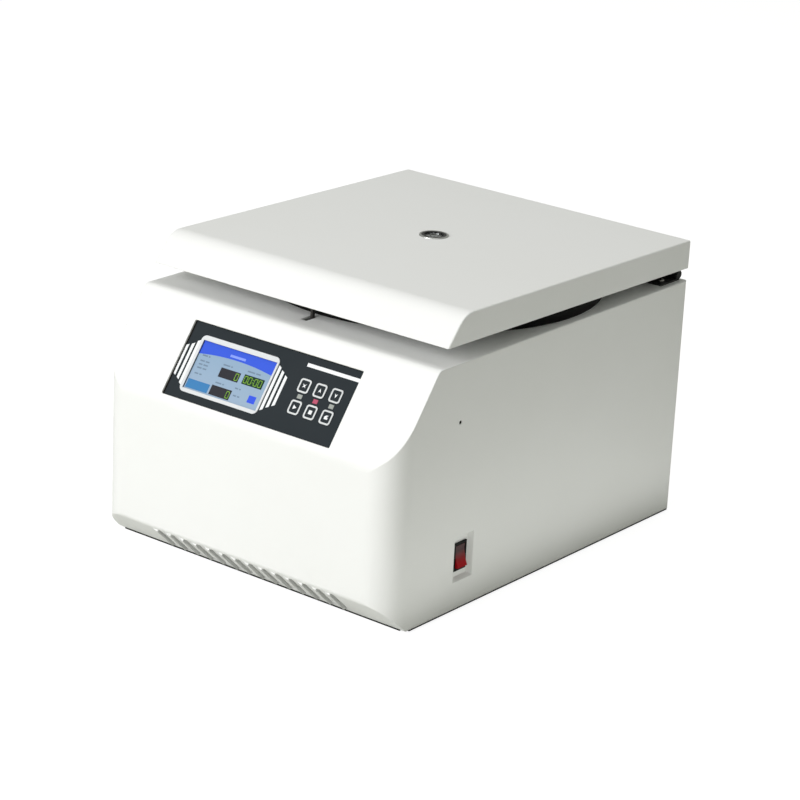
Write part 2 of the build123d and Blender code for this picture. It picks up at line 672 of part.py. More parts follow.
def power_inlet():
    """Appliance inlet with three blades, flush with the casing's rear edge."""
    half_x = INLET_SOCKET_WIDTH / 2 + INLET_WALL
    half_z = INLET_SOCKET_HEIGHT / 2 + INLET_WALL
    flange = Plane.XZ * Pos(INLET_X, INLET_Z, 0) * RectangleRounded(INLET_WIDTH, INLET_HEIGHT, INLET_CORNER)
    inlet = Pos(0, REAR, 0) * extrude(flange, REAR_SET)
    depth = INLET_DEPTH + INLET_FLOOR
    inlet += block(INLET_X - half_x, INLET_X + half_x, REAR - depth, REAR, INLET_Z - half_z, INLET_Z + half_z)
    socket = RectangleRounded(INLET_SOCKET_WIDTH, INLET_SOCKET_HEIGHT, SOCKET_CORNER)
    socket = Plane.XZ * Pos(INLET_X, INLET_Z, 0) * socket
    inlet -= Pos(0, REAR + 1, 0) * extrude(socket, INLET_DEPTH + 1)
    floor = REAR - INLET_DEPTH
    half_w = BLADE_WIDTH / 2
    half_h = BLADE_HEIGHT / 2
    for dx, dz in INLET_BLADES:
        x = INLET_X + dx
        z = INLET_Z + dz
        inlet += block(x - half_w, x + half_w, floor - 1, floor + BLADE_LENGTH, z - half_h, z + half_h)
    for sx in (-1, 1):
        inlet -= rod_y(SCREW_RADIUS, REAR - REAR_SET - 1, REAR + 1, INLET_X + sx * INLET_SCREWS / 2, INLET_Z)
    return inlet


def fuse_holder():
    """Panel fuse holder with a slotted cap."""
    holder = rod_y(FUSE_RADIUS, REAR_FACE - FUSE_DEPTH, REAR_FACE, FUSE_X, INLET_Z)
    holder += rod_y(FUSE_FLANGE, REAR_FACE, REAR_FACE + FUSE_CAP, FUSE_X, INLET_Z)
    holder += rod_y(FUSE_RADIUS - FUSE_CAP, REAR_FACE, REAR, FUSE_X, INLET_Z)
    half = FUSE_SLOT / 2
    slot = block(FUSE_X - FUSE_RADIUS, FUSE_X + FUSE_RADIUS, REAR - FUSE_CAP, REAR + 1,
                 INLET_Z - half, INLET_Z + half)
    return holder - slot


def chamber_bowl():
    """Steel bowl of three sheets welded edge to edge: dished floor, rolled wall and the flange on the deck."""
    r = BOWL_RADIUS
    t = BOWL_SHEET
    bore = BOOT_RADIUS + RUN_GAP
    seam = BOWL_FLOOR + BOWL_CORNER
    dish = turned([(bore, BOWL_FLOOR - t), (r + t, BOWL_FLOOR - t), (r + t, seam), (r, seam),
                   (r, BOWL_FLOOR), (bore, BOWL_FLOOR)])
    outer_edges = [e for e in dish.edges().filter_by(GeomType.CIRCLE) if abs(e.radius - r - t) < 0.01
                   and e.center().Z < BOWL_FLOOR]
    dish = fillet(outer_edges, BOWL_CORNER)
    inner_edges = [e for e in dish.edges().filter_by(GeomType.CIRCLE) if abs(e.radius - r) < 0.01
                   and e.center().Z < BOWL_FLOOR + 1]
    dish = fillet(inner_edges, BOWL_CORNER - t)
    wall = rod(r + t, seam, DECK_HEIGHT) - rod(r, seam - 1, DECK_HEIGHT + 1)
    flange = rod(FLANGE_RADIUS, DECK_HEIGHT, DECK_HEIGHT + t) - rod(r, DECK_HEIGHT - 1, DECK_HEIGHT + t + 1)
    return Compound([at_rotor(sheet) for sheet in (dish, wall, flange)])


def chamber_gasket():
    """Rubber ring on the bowl's flange that the closed lid meets, with a skirt round the flange's edge."""
    low = DECK_HEIGHT + BOWL_SHEET
    top = low + GASKET_RISE
    skirt = FLANGE_RADIUS + FLANGE_GAP
    ring = turned([(GASKET_INNER, low), (skirt, low), (skirt, DECK_HEIGHT), (GASKET_OUTER, DECK_HEIGHT),
                   (GASKET_OUTER, top), (GASKET_INNER, top)])
    crown = ring.edges().group_by(Axis.Z)[-1]
    return at_rotor(fillet(crown, GASKET_CROWN))


def guard_ring():
    """Thick steel ring round the bowl, standing on the carrier plate."""
    low = CARRIER_HEIGHT + CARRIER_PLATE
    high = DECK_UNDER - GUARD_TOP_GAP
    return at_rotor(turned([(GUARD_INNER, low), (GUARD_OUTER, low), (GUARD_OUTER, high), (GUARD_INNER, high)]))


def damper_places():
    """Motor dampers, spaced evenly round the spin axis."""
    spots = PolarLocations(DAMPER_CIRCLE, DAMPER_COUNT, start_angle=45)
    return [(spot.position.X, spot.position.Y + ROTOR_Y) for spot in spots.locations]


def post_places():
    """Posts between base plate and carrier plate."""
    s = POST_SPREAD
    return [(sx * s, ROTOR_Y + sy * s) for sx in (-1, 1) for sy in (-1, 1)]


def carrier_plate():
    """Round plate that carries the motor below and the guard ring above."""
    top = CARRIER_HEIGHT + CARRIER_PLATE
    plate = rod(CARRIER_RADIUS, CARRIER_HEIGHT, top, 0, ROTOR_Y)
    plate -= rod(SHAFT_HOLE, CARRIER_HEIGHT - 1, top + 1, 0, ROTOR_Y)
    for x, y in damper_places():
        plate -= rod(BOLT_RADIUS + SCREW_GAP, CARRIER_HEIGHT - 1, top + 1, x, y)
    return plate


def support_posts():
    """Four posts that hold the carrier plate above the base plate."""
    return Compound([rod(POST_RADIUS, PLATE_TOP, CARRIER_HEIGHT, x, y) for x, y in post_places()])


def motor_housing():
    """Motor case with its top flange and a bearing seat at each end."""
    top = MOTOR_TOP + MOTOR_FLANGE
    case = rod(MOTOR_RADIUS, MOTOR_BOTTOM, MOTOR_TOP, 0, ROTOR_Y)
    case += rod(MOTOR_FLANGE_RADIUS, MOTOR_TOP, top, 0, ROTOR_Y)
    case -= rod(MOTOR_BORE, MOTOR_BOTTOM - 1, MOTOR_TOP - 1, 0, ROTOR_Y)
    case -= rod(BEARING_RADIUS + FIT_GAP, MOTOR_TOP - 2, top + 1, 0, ROTOR_Y)
    for x, y in damper_places():
        case -= rod(BOLT_RADIUS + SCREW_GAP, MOTOR_TOP - 1, top + 1, x, y)
    length = MOTOR_TOP - MOTOR_BOTTOM - 2 * MOTOR_GROOVE_END
    groove = Box(2 * MOTOR_GROOVE_DEPTH, MOTOR_GROOVE, length)
    for i in range(MOTOR_GROOVES):
        turn = Rot(0, 0, 360 / MOTOR_GROOVES * i)
        case -= at_rotor(turn * Pos(MOTOR_RADIUS, 0, (MOTOR_BOTTOM + MOTOR_TOP) / 2) * groove)
    return case


def motor_end_cap():
    """Lower end cap with the lower bearing seat."""
    cap = rod(CAP_RADIUS, MOTOR_BOTTOM - CAP_DEPTH, MOTOR_BOTTOM, 0, ROTOR_Y)
    seat = rod(BEARING_RADIUS + FIT_GAP, MOTOR_BOTTOM - BEARING_WIDTH, MOTOR_BOTTOM + 1, 0, ROTOR_Y)
    return cap - seat


def motor_bearings():
    """Upper and lower bearing rings."""
    rings = []
    for low in (MOTOR_BOTTOM - BEARING_WIDTH, MOTOR_TOP):
        ring = rod(BEARING_RADIUS, low, low + BEARING_WIDTH, 0, ROTOR_Y)
        rings.append(ring - rod(SHAFT_RADIUS + FIT_GAP, low - 1, low + BEARING_WIDTH + 1, 0, ROTOR_Y))
    return Compound(rings)


def motor_dampers():
    """Rubber dampers between motor flange and carrier plate."""
    low = MOTOR_TOP + MOTOR_FLANGE
    dampers = []
    for x, y in damper_places():
        damper = rod(DAMPER_RADIUS, low, CARRIER_HEIGHT, x, y)
        dampers.append(damper - rod(BOLT_RADIUS + SCREW_GAP, low - 1, CARRIER_HEIGHT + 1, x, y))
    return Compound(dampers)


def motor_bolts():
    """Bolts with nuts that hang the motor from the carrier plate."""
    top = CARRIER_HEIGHT + CARRIER_PLATE
    bolts = []
    for x, y in damper_places():
        bolt = rod(BOLT_RADIUS, MOTOR_TOP - BOLT_HEAD_DEPTH / 2, top + BOLT_HEAD_DEPTH / 2, x, y)
        bolt += rod(BOLT_HEAD, MOTOR_TOP - BOLT_HEAD_DEPTH, MOTOR_TOP, x, y)
        nut = extrude(RegularPolygon(BOLT_HEAD, 6), BOLT_HEAD_DEPTH)
        bolts.append(bolt + Pos(x, y, top) * nut)
    return Compound(bolts)


def shaft_boot():
    """Rubber boot that closes the bowl's floor round the shaft."""
    low = CARRIER_HEIGHT + CARRIER_PLATE
    bore = SHAFT_RADIUS + RUN_GAP
    return at_rotor(turned([(bore, low), (BOOT_RADIUS, low), (BOOT_RADIUS, BOWL_FLOOR), (BOOT_FLANGE, BOWL_FLOOR),
                            (BOOT_FLANGE, BOWL_FLOOR + 2.5), (BOOT_RADIUS, BOWL_FLOOR + 4),
                            (bore + 3, BOWL_FLOOR + BOOT_RISE), (bore, BOWL_FLOOR + BOOT_RISE)]))


def motor_shaft():
    """Drive shaft with the collar that carries the rotor and a threaded tip."""
    top = ROTOR_SEAT + ROTOR_HEIGHT
    shaft = rod(SHAFT_RADIUS, MOTOR_BOTTOM - BEARING_WIDTH, top - 2)
    shaft += rod(COLLAR_RADIUS, ROTOR_SEAT - COLLAR, ROTOR_SEAT)
    shaft += rod(THREAD_RADIUS, top - 3, top + COVER + THREAD_LENGTH)
    return at_rotor(shaft)


def rotor_body():
    """Fixed-angle rotor, wider below, with a ring of tilted tube holes."""
    z0 = ROTOR_SEAT
    top = ROTOR_SEAT + ROTOR_HEIGHT
    bore = SHAFT_RADIUS + FIT_GAP
    body = turned([(bore, z0), (ROTOR_HUB, z0), (ROTOR_HUB, z0 + 6), (ROTOR_FOOT - 8, z0 - 2), (ROTOR_FOOT, z0 - 2),
                   (ROTOR_WAIST, z0 + ROTOR_BELLY), (ROTOR_TOP_RADIUS, top), (bore, top)])
    reach = TUBE_DEPTH / 2
    for i in range(TUBE_HOLES):
        hole = Pos(0, 0, -reach + TUBE_RADIUS) * Cylinder(TUBE_RADIUS, 2 * reach + TUBE_RADIUS)
        hole = Rot(0, -TUBE_TILT, 0) * hole
        body -= Rot(0, 0, 360 / TUBE_HOLES * i) * Pos(TUBE_CIRCLE, 0, top) * hole
    return at_rotor(body)


def rotor_cover():
    """Pressed cover over the tube holes, with a turned-up rim."""
    low = ROTOR_SEAT + ROTOR_HEIGHT
    bore = THREAD_RADIUS + FIT_GAP
    cover = turned([(bore, low), (COVER_RADIUS, low), (COVER_RADIUS, low + COVER_RIM),
                    (COVER_RADIUS - 2, low + COVER_RIM), (COVER_RADIUS - 4, low + COVER), (bore, low + COVER)])
    return at_rotor(cover)


def rotor_knob():
    """Gripped nut that clamps cover and rotor to the shaft."""
    low = ROTOR_SEAT + ROTOR_HEIGHT + COVER
    knob = Pos(0, 0, low + KNOB_HEIGHT / 2) * Cylinder(KNOB_RADIUS, KNOB_HEIGHT)
    knob = fillet(knob.edges().group_by(Axis.Z)[-1], 2.5)
    for i in range(KNOB_GRIPS):
        groove = rod(KNOB_GRIP, low - 1, low + KNOB_HEIGHT + 1, KNOB_RADIUS + 0.6, 0)
        knob -= Rot(0, 0, 360 / KNOB_GRIPS * i) * groove
    knob -= rod(THREAD_RADIUS + FIT_GAP, low - 1, low + THREAD_LENGTH + 0.5)
    return at_rotor(knob)


def lid_form(inset, low):
    """Lid block in the closed position, drawn in by inset, with its underside at low."""
    lean = tan(radians(LID_LEAN))
    step = inset / cos(radians(LID_LEAN))
    top = LID_TOP - inset
    outline = [(LID_FRONT + step + (low - LID_LOW) * lean, low), (LID_FRONT + step + (top - LID_LOW) * lean, top),
               (REAR - inset, top), (REAR - inset, low)]
    return side_sheet(outline, LID_HALF - inset, [(1, LID_NOSE - inset)])


def lid_boss_places():
    """Middle of each lid boss: the front, side and rear pairs."""
    pairs = [(LID_HALF - FRONT_BOSS_X, LID_FRONT + FRONT_BOSS_Y), (LID_HALF - SIDE_BOSS_X, ROTOR_Y - SIDE_BOSS_Y),
             (REAR_BOSS_X, REAR - REAR_BOSS_Y)]
    return [(sx * x, y) for x, y in pairs for sx in (-1, 1)]


def lid_shell():
    """Lid skin with a sloping nose, open below, with bosses for the liner screws."""
    skin = lid_form(0, LID_LOW)
    long_edges = [e for e in skin.edges() if abs(abs(e.center().X) - LID_HALF) < 0.01
                  and e.center().Z > LID_LOW + 4 and e.length > 5]
    rear_edge = [e for e in skin.edges() if abs(e.center().X) < 0.01 and e.center().Y > REAR - 0.01
                 and e.center().Z > LID_TOP - 1]
    skin = fillet(long_edges + rear_edge, LID_EDGE)
    skin -= lid_form(LID_SHEET, LID_LOW - 1)
    liner_top = LINER_LOW + LINER
    for x, y in lid_boss_places():
        skin += rod(LID_BOSS, liner_top, LID_TOP - LID_SHEET / 2, x, y)
        skin -= rod(SCREW_RADIUS, liner_top - 1, liner_top + BOSS_DEPTH, x, y)
    skin -= rod(SIGHT_TUBE + SCREW_GAP, LID_TOP - 2 * LID_SHEET, LID_TOP + 1, 0, ROTOR_Y)
    return skin.rotate(LID_AXIS, LID_AJAR)


def lid_liner():
    """Inner lid plate with a round raised disc over the chamber."""
    half = LID_HALF - LID_SHEET - LINER_GAP
    lean = radians(LID_LEAN)
    front = LID_FRONT + LID_SHEET / cos(lean) + (LINER_SET + LINER) * tan(lean) + LINER_GAP
    liner = block(-half, half, front, REAR - LID_SHEET - LINER_GAP, LINER_LOW, LINER_LOW + LINER)
    disc = rod(LINER_DISC, LINER_LOW - LINER_DISC_DROP, LINER_LOW + 0.5, 0, ROTOR_Y)
    disc = fillet(disc.edges().group_by(Axis.Z)[0], 3)
    liner += disc
    liner -= rod(SIGHT_TUBE + SCREW_GAP, LINER_LOW - LINER_DISC_DROP - 1, LINER_LOW + LINER + 1, 0, ROTOR_Y)
    for x, y in lid_boss_places():
        liner -= rod(SCREW_RADIUS + SCREW_GAP, LINER_LOW - 1, LINER_LOW + LINER + 1, x, y)
    return liner.rotate(LID_AXIS, LID_AJAR)


def liner_screws():
    """Screws that hold the liner to the lid's bosses."""
    screws = [Pos(x, y, LINER_LOW) * Rot(180, 0, 0) * screw(LINER_SCREW) for x, y in lid_boss_places()]
    return Compound(screws).rotate(LID_AXIS, LID_AJAR)


def sight_ring():
    """Bezel and tube that hold the sight glass through the lid."""
    face = LID_TOP + SIGHT_PROUD
    ledge = face - SIGHT_SET - SIGHT_GLASS
    low = LINER_LOW - LINER_DISC_DROP
    ring = turned([(SIGHT_LEDGE, low), (SIGHT_TUBE, low), (SIGHT_TUBE, LID_TOP), (SIGHT_BEZEL, LID_TOP),
                   (SIGHT_BEZEL - 0.6, face), (SIGHT_BORE, face), (SIGHT_BORE, ledge), (SIGHT_LEDGE, ledge)])
    return at_rotor(ring).rotate(LID_AXIS, LID_AJAR)


def sight_glass():
    """Round window in the sight ring."""
    face = LID_TOP + SIGHT_PROUD - SIGHT_SET
    glass = rod(SIGHT_BORE - FIT_GAP, face - SIGHT_GLASS, face, 0, ROTOR_Y)
    return glass.rotate(LID_AXIS, LID_AJAR)


def knuckle_spans():
    """Left, middle and right knuckle of one hinge, as x ranges about the hinge's middle."""
    third = HINGE_WIDTH / 3
    half = HINGE_WIDTH / 2
    left = (-half, -half + third - KNUCKLE_GAP)
    right = (half - third + KNUCKLE_GAP, half)
    return [left, (-half + third, half - third), right]


def knuckle(x, span, gap):
    """One hinge barrel, bored for the pin."""
    barrel = rod_x(KNUCKLE, x + span[0], x + span[1], PIVOT_Y, PIVOT_Z)
    return barrel - rod_x(PIN + gap, x + span[0] - 1, x + span[1] + 1, PIVOT_Y, PIVOT_Z)


def leaf_screw_places(x):
    """Screw places in one leaf, clear of the knuckles."""
    return [(x + sx * HINGE_WIDTH * 0.36, PIVOT_Y - LEAF_REACH * 0.66) for sx in (-1, 1)]


def deck_leaves():
    """Fixed hinge leaves on the deck, each with two outer knuckles."""
    leaves = []
    low = DECK_HEIGHT
    for x in (-HINGE_X, HINGE_X):
        half = HINGE_WIDTH / 2
        leaf = block(x - half, x + half, PIVOT_Y - LEAF_REACH, PIVOT_Y - KNUCKLE - 1, low, low + LEAF)
        for span in knuckle_spans()[::2]:
            web = block(x + span[0], x + span[1], PIVOT_Y - KNUCKLE - 1, PIVOT_Y, low, PIVOT_Z)
            web -= rod_x(PIN + FIT_GAP, x + span[0] - 1, x + span[1] + 1, PIVOT_Y, PIVOT_Z)
            leaf += web + knuckle(x, span, FIT_GAP)
        for sx, sy in leaf_screw_places(x):
            leaf -= rod(SCREW_RADIUS, low - 1, low + LEAF + 1, sx, sy)
        leaves.append(leaf)
    return Compound(leaves)


def lid_leaves():
    """Moving hinge leaves under the lid, each with the middle knuckle."""
    leaves = []
    top = LINER_LOW
    for x in (-HINGE_X, HINGE_X):
        half = HINGE_WIDTH / 2
        span = knuckle_spans()[1]
        leaf = block(x - half, x + half, PIVOT_Y - LEAF_REACH, PIVOT_Y - KNUCKLE, top - LEAF, top)
        web = block(x + span[0], x + span[1], PIVOT_Y - KNUCKLE, PIVOT_Y - PIN - 1, PIVOT_Z, top)
        web += block(x + span[0], x + span[1], PIVOT_Y - KNUCKLE - 1, PIVOT_Y - PIN - 1, top - LEAF, top)
        leaf += web + knuckle(x, span, FIT_GAP)
        leaves.append(leaf)
    return Compound(leaves).rotate(LID_AXIS, LID_AJAR)


def hinge_pins():
    """Pins through the knuckles."""
    half = HINGE_WIDTH / 2
    return Compound([rod_x(PIN, x - half, x + half, PIVOT_Y, PIVOT_Z) for x in (-HINGE_X, HINGE_X)])


def hinge_screws():
    """Screws through the fixed leaves."""
    spots = [spot for x in (-HINGE_X, HINGE_X) for spot in leaf_screw_places(x)]
    return Compound([Pos(x, y, DECK_HEIGHT + LEAF) * screw(LEAF) for x, y in spots])


def lid_hook():
    """Hook plate under the front of the lid, toe forward."""
    toe, heel = hook_reach()
    half = HOOK_THICK / 2
    foot_top = TONGUE_LOW - TONGUE_GAP
    pad_low = LINER_LOW - HOOK_PAD
    hook = block(-half, half, HOOK_Y - HOOK_STEM / 2, heel, foot_top - HOOK_FOOT, LINER_LOW)
    hook += block(-half, half, toe, heel, foot_top - HOOK_FOOT, foot_top)
    front = HOOK_Y - HOOK_PAD_FRONT
    hook += block(-HOOK_PAD_X / 2, HOOK_PAD_X / 2, front, front + HOOK_PAD_Y, pad_low, LINER_LOW)
    return hook.rotate(LID_AXIS, LID_AJAR)


def latch_solenoid():
    """Lock solenoid hung under the deck beside the hook slot."""
    y = PLUNGER_Y
    top = DECK_UNDER - SOLENOID_PLATE
    low = top - SOLENOID_HEIGHT
    end = SOLENOID_X + SOLENOID_LENGTH
    half = SOLENOID_WIDTH / 2
    case = block(SOLENOID_X, end, y - half, y + half, low, top)
    wide = half + SOLENOID_FLANGE
    case += block(SOLENOID_X, end + SOLENOID_EAR, y - wide, y + wide, top, DECK_UNDER)
    bore = PLUNGER_RADIUS + FIT_GAP
    return case - rod_x(bore, SOLENOID_X - 1, end - SOLENOID_END, y, (low + top) / 2)


def latch_bolt():
    """Plunger with an offset yoke and the flat tongue that slides over the hook's foot."""
    middle = DECK_UNDER - SOLENOID_PLATE - SOLENOID_HEIGHT / 2
    tip = HOOK_THICK / 2 + TONGUE_REST
    yoke = tip + TONGUE_TRAVEL
    end = yoke + YOKE
    front = TONGUE_Y - TONGUE_WIDTH / 2
    back = TONGUE_Y + TONGUE_WIDTH / 2
    bolt = block(tip, end, front, back, TONGUE_LOW, TONGUE_TOP)
    bolt += block(yoke, end, front, back, middle - PLUNGER_RADIUS, TONGUE_TOP)
    bolt += block(yoke, end, front, PLUNGER_Y + PLUNGER_RADIUS,
                  middle - PLUNGER_RADIUS, middle + PLUNGER_RADIUS)
    return bolt + rod_x(PLUNGER_RADIUS, yoke, end + PLUNGER_LENGTH, PLUNGER_Y, middle)


def lid_switch():
    """Small switch under the deck that senses the hook."""
    right = -SLOT_WIDTH / 2 - SENSOR_GAP
    front = HOOK_Y - SENSOR_FRONT
    middle = front + SENSOR_WIDTH / 2
    lever_low = DECK_UNDER - LEVER_DROP - LEVER_THICK
    case = block(right - SENSOR_LENGTH, right, front, front + SENSOR_WIDTH,
                 DECK_UNDER - SENSOR_HEIGHT, DECK_UNDER)
    return case + block(right + LEVER_REACH - LEVER_LENGTH, right + LEVER_REACH, middle - LEVER_WIDTH / 2,
                        middle + LEVER_WIDTH / 2, lever_low, lever_low + LEVER_THICK)


def key_places():
    """Middle of each key: x and distance up the slope, row by row."""
    return [(x, up) for up in KEY_ROWS for x in KEY_COLUMNS]


def panel_plate():
    """Dark front plate in the casing's window, cut for screen, keys and lamps."""
    width = PANEL_WIDTH - 2 * PANEL_GAP
    length = PANEL_LENGTH - 2 * PANEL_GAP
    middle = PANEL_FOOT + PANEL_LENGTH / 2
    plate = slab(width, length, PANEL_X, middle, -PANEL_SET, PANEL_SHEET, PANEL_CORNER)
    plate -= slab(SCREEN_WIDTH, SCREEN_LENGTH, SCREEN_X, SCREEN_UP, 0, 3 * WALL)
    for x, up in key_places():
        plate -= slab(KEY_WIDTH + 2 * KEY_GAP, KEY_LENGTH + 2 * KEY_GAP, x, up, 0, 3 * WALL, KEY_CORNER)
    for x in KEY_COLUMNS:
        plate -= slab(LAMP_WIDTH + 2 * SCREW_GAP, LAMP_LENGTH + 2 * SCREW_GAP, x, LAMP_UP, 0, 3 * WALL)
    return plate


def panel_backer():
    """Moulded frame behind the casing wall that carries plate, screen and keys."""
    low = max(PANEL_FOOT, BEND_RADIUS * tan(LEAN / 2)) + PANEL_GAP
    high = PANEL_FOOT + PANEL_LENGTH + BACKER_RIM
    width = PANEL_WIDTH + 2 * BACKER_RIM
    backer = slab(width, high - low, PANEL_X, (low + high) / 2, -WALL, BACKER)
    screen_width = SCREEN_WIDTH + 2 * SCREEN_MARGIN + 2 * SCREW_GAP
    screen_length = SCREEN_LENGTH + 2 * SCREEN_MARGIN + 2 * SCREW_GAP
    backer -= slab(screen_width, screen_length, SCREEN_X, SCREEN_UP, 0, 5 * WALL)
    for x, up in key_places():
        grow = 2 * KEY_LIP + 2 * KEY_GAP
        backer -= slab(KEY_WIDTH + grow, KEY_LENGTH + grow, x, up, 0, 5 * WALL)
    for x in KEY_COLUMNS:
        backer -= slab(LAMP_WIDTH + 2 * SCREW_GAP, LAMP_LENGTH + 2 * SCREW_GAP, x, LAMP_UP, 0, 5 * WALL)
    for x, up in stud_places():
        backer -= SLANT * Pos(x, up, -WALL) * Cylinder(STUD_RADIUS + SCREW_GAP, 4 * WALL)
    return backer


def backer_nuts():
    """Nuts on the casing's studs behind the backer."""
    nuts = []
    for x, up in stud_places():
        nut = extrude(RegularPolygon(NUT_RADIUS, 6), NUT) - Cylinder(STUD_RADIUS + SCREW_GAP, 4 * NUT)
        nuts.append(SLANT * Pos(x, up, -WALL - BACKER - NUT) * nut)
    return Compound(nuts)


def screen_bezel():
    """Pale raised frame round the screen."""
    frame = slab(BEZEL_WIDTH, BEZEL_LENGTH, BEZEL_X, BEZEL_UP, -PANEL_SET + BEZEL_RISE, BEZEL_RISE, BEZEL_CORNER)
    return frame - slab(SCREEN_WIDTH, SCREEN_LENGTH, SCREEN_X, SCREEN_UP, WALL, 3 * WALL)


def screen_module():
    """Display panel seated behind the front plate."""
    top = -PANEL_SET - PANEL_SHEET
    return slab(SCREEN_WIDTH + 2 * SCREEN_MARGIN, SCREEN_LENGTH + 2 * SCREEN_MARGIN, SCREEN_X, SCREEN_UP,
                top, SCREEN_DEPTH)


def key(x, up):
    """One key: a cap through the front plate and a wider lip behind it."""
    cap_top = -PANEL_SET + KEY_PROUD
    lip_top = -PANEL_SET - PANEL_SHEET - KEY_GAP
    board_top = -WALL - BACKER
    lip = lip_top - board_top - KEY_TRAVEL - 0.2
    cap = slab(KEY_WIDTH, KEY_LENGTH, x, up, cap_top, cap_top - lip_top, KEY_CORNER)
    return cap + slab(KEY_WIDTH + 2 * KEY_LIP, KEY_LENGTH + 2 * KEY_LIP, x, up, lip_top, lip)


def lamp_lenses():
    """Three small light pipes between the key rows."""
    top = -PANEL_SET + LAMP_PROUD
    thick = top + WALL + BACKER
    return Compound([slab(LAMP_WIDTH, LAMP_LENGTH, x, LAMP_UP, top, thick) for x in KEY_COLUMNS])


def keypad_board():
    """Circuit board under the keys, flat on the backer."""
    left = KEY_COLUMNS[0] - KEY_WIDTH / 2 - KEYPAD_MARGIN
    right = KEY_COLUMNS[-1] + KEY_WIDTH / 2 + KEYPAD_MARGIN
    low = KEY_ROWS[-1] - KEY_LENGTH / 2 - KEYPAD_MARGIN
    high = KEY_ROWS[0] + KEY_LENGTH / 2 + KEYPAD_MARGIN
    return slab(right - left, high - low, (left + right) / 2, (low + high) / 2, -WALL - BACKER, KEYPAD_BOARD)


def spacer_places():
    """Spacers that carry the main board behind the backer."""
    x = BOARD_WIDTH / 2 - SPACER_INSET
    up = BOARD_LENGTH / 2 - SPACER_INSET
    middle = PANEL_FOOT + PANEL_LENGTH / 2
    return [(BOARD_X + sx * x, middle + sy * up) for sx in (-1, 1) for sy in (-1, 1)]


def board_spacers():
    """Four spacers between backer and main board."""
    top = -WALL - BACKER
    length = BOARD_DEPTH + top
    return Compound([SLANT * Pos(x, up, top - length / 2) * Cylinder(SPACER_RADIUS, length)
                     for x, up in spacer_places()])


def control_board():
    """Main circuit board with a few tall components."""
    middle = PANEL_FOOT + PANEL_LENGTH / 2
    board = slab(BOARD_WIDTH, BOARD_LENGTH, BOARD_X, middle, -BOARD_DEPTH, KEYPAD_BOARD)
    back = -BOARD_DEPTH - KEYPAD_BOARD
    for x, up, width, length, rise in BOARD_PARTS:
        board += slab(width, length, x, middle + up, back, rise)
    return board


def mains_transformer():
    """Laminated core with its winding, on the base plate."""
    half_w = CORE_WIDTH / 2
    half_d = CORE_DEPTH / 2
    low = PLATE_TOP
    core = block(CORE_X - half_w, CORE_X + half_w, CORE_Y - half_d, CORE_Y + half_d, low, low + CORE_HEIGHT)
    coil_half = half_w - COIL_WALL
    reach = half_d + COIL_WALL
    return core + block(CORE_X - coil_half, CORE_X + coil_half, CORE_Y - reach, CORE_Y + reach,
                        low + COIL_WALL, low + CORE_HEIGHT - COIL_WALL)


def drive_heat_sink():
    """Finned heat sink of the motor drive, with four corner posts for its board."""
    half_w = SINK_WIDTH / 2
    half_d = SINK_DEPTH / 2
    low = PLATE_TOP
    sink = block(SINK_X - half_w, SINK_X + half_w, SINK_Y - half_d, SINK_Y + half_d, low, low + SINK_BASE)
    pitch = (SINK_WIDTH - SINK_FIN) / (SINK_FINS - 1)
    for i in range(SINK_FINS):
        x = SINK_X - half_w + pitch * i
        sink += block(x, x + SINK_FIN, SINK_Y - half_d, SINK_Y + half_d, low + SINK_BASE - 1, low + SINK_HEIGHT)
    return sink


def drive_board():
    """Motor drive board lying on the heat sink's fins."""
    low = PLATE_TOP + SINK_HEIGHT
    half_w = SINK_WIDTH / 2
    half_d = SINK_DEPTH / 2
    board = block(SINK_X - half_w, SINK_X + half_w, SINK_Y - half_d, SINK_Y + half_d,
                  low, low + DRIVE_BOARD)
    for dx, dy in CAN_PLACES:
        board += rod(CAN_RADIUS, low + DRIVE_BOARD / 2, low + DRIVE_BOARD + CAN_HEIGHT, SINK_X + dx, SINK_Y + dy)
    x = SINK_X + MODULE_PLACE[0]
    y = SINK_Y + MODULE_PLACE[1]
    half = MODULE_SIZE / 2
    return board + block(x - half, x + half, y - half, y + half, low + DRIVE_BOARD / 2,
                         low + DRIVE_BOARD + MODULE_HEIGHT)


def switch_frame():
    """Black switch housing in the recess, with a hollow for the rocker."""
    seat = SIDE - RECESS_DEPTH
    half_y = SWITCH_WIDTH / 2
    half_z = SWITCH_HEIGHT / 2
    frame = block(seat, seat + SWITCH_FLANGE, SWITCH_Y - half_y, SWITCH_Y + half_y,
                  SWITCH_Z - half_z, SWITCH_Z + half_z)
    neck_y = half_y - SWITCH_NECK
    neck_z = half_z - SWITCH_NECK
    frame += block(seat - SWITCH_BODY, seat + SWITCH_FLANGE / 2, SWITCH_Y - neck_y, SWITCH_Y + neck_y,
                   SWITCH_Z - neck_z, SWITCH_Z + neck_z)
    well_y = ROCKER_WIDTH / 2 + ROCKER_GAP
    well_z = ROCKER_HEIGHT / 2 + ROCKER_END_GAP
    frame -= block(seat - SWITCH_BODY + SWITCH_FLOOR, SIDE, SWITCH_Y - well_y, SWITCH_Y + well_y,
                   SWITCH_Z - well_z, SWITCH_Z + well_z)
    reach = neck_y - TRUNNION_SKIN
    return frame - rod_y(TRUNNION + FIT_GAP, SWITCH_Y - reach, SWITCH_Y + reach, seat, SWITCH_Z)


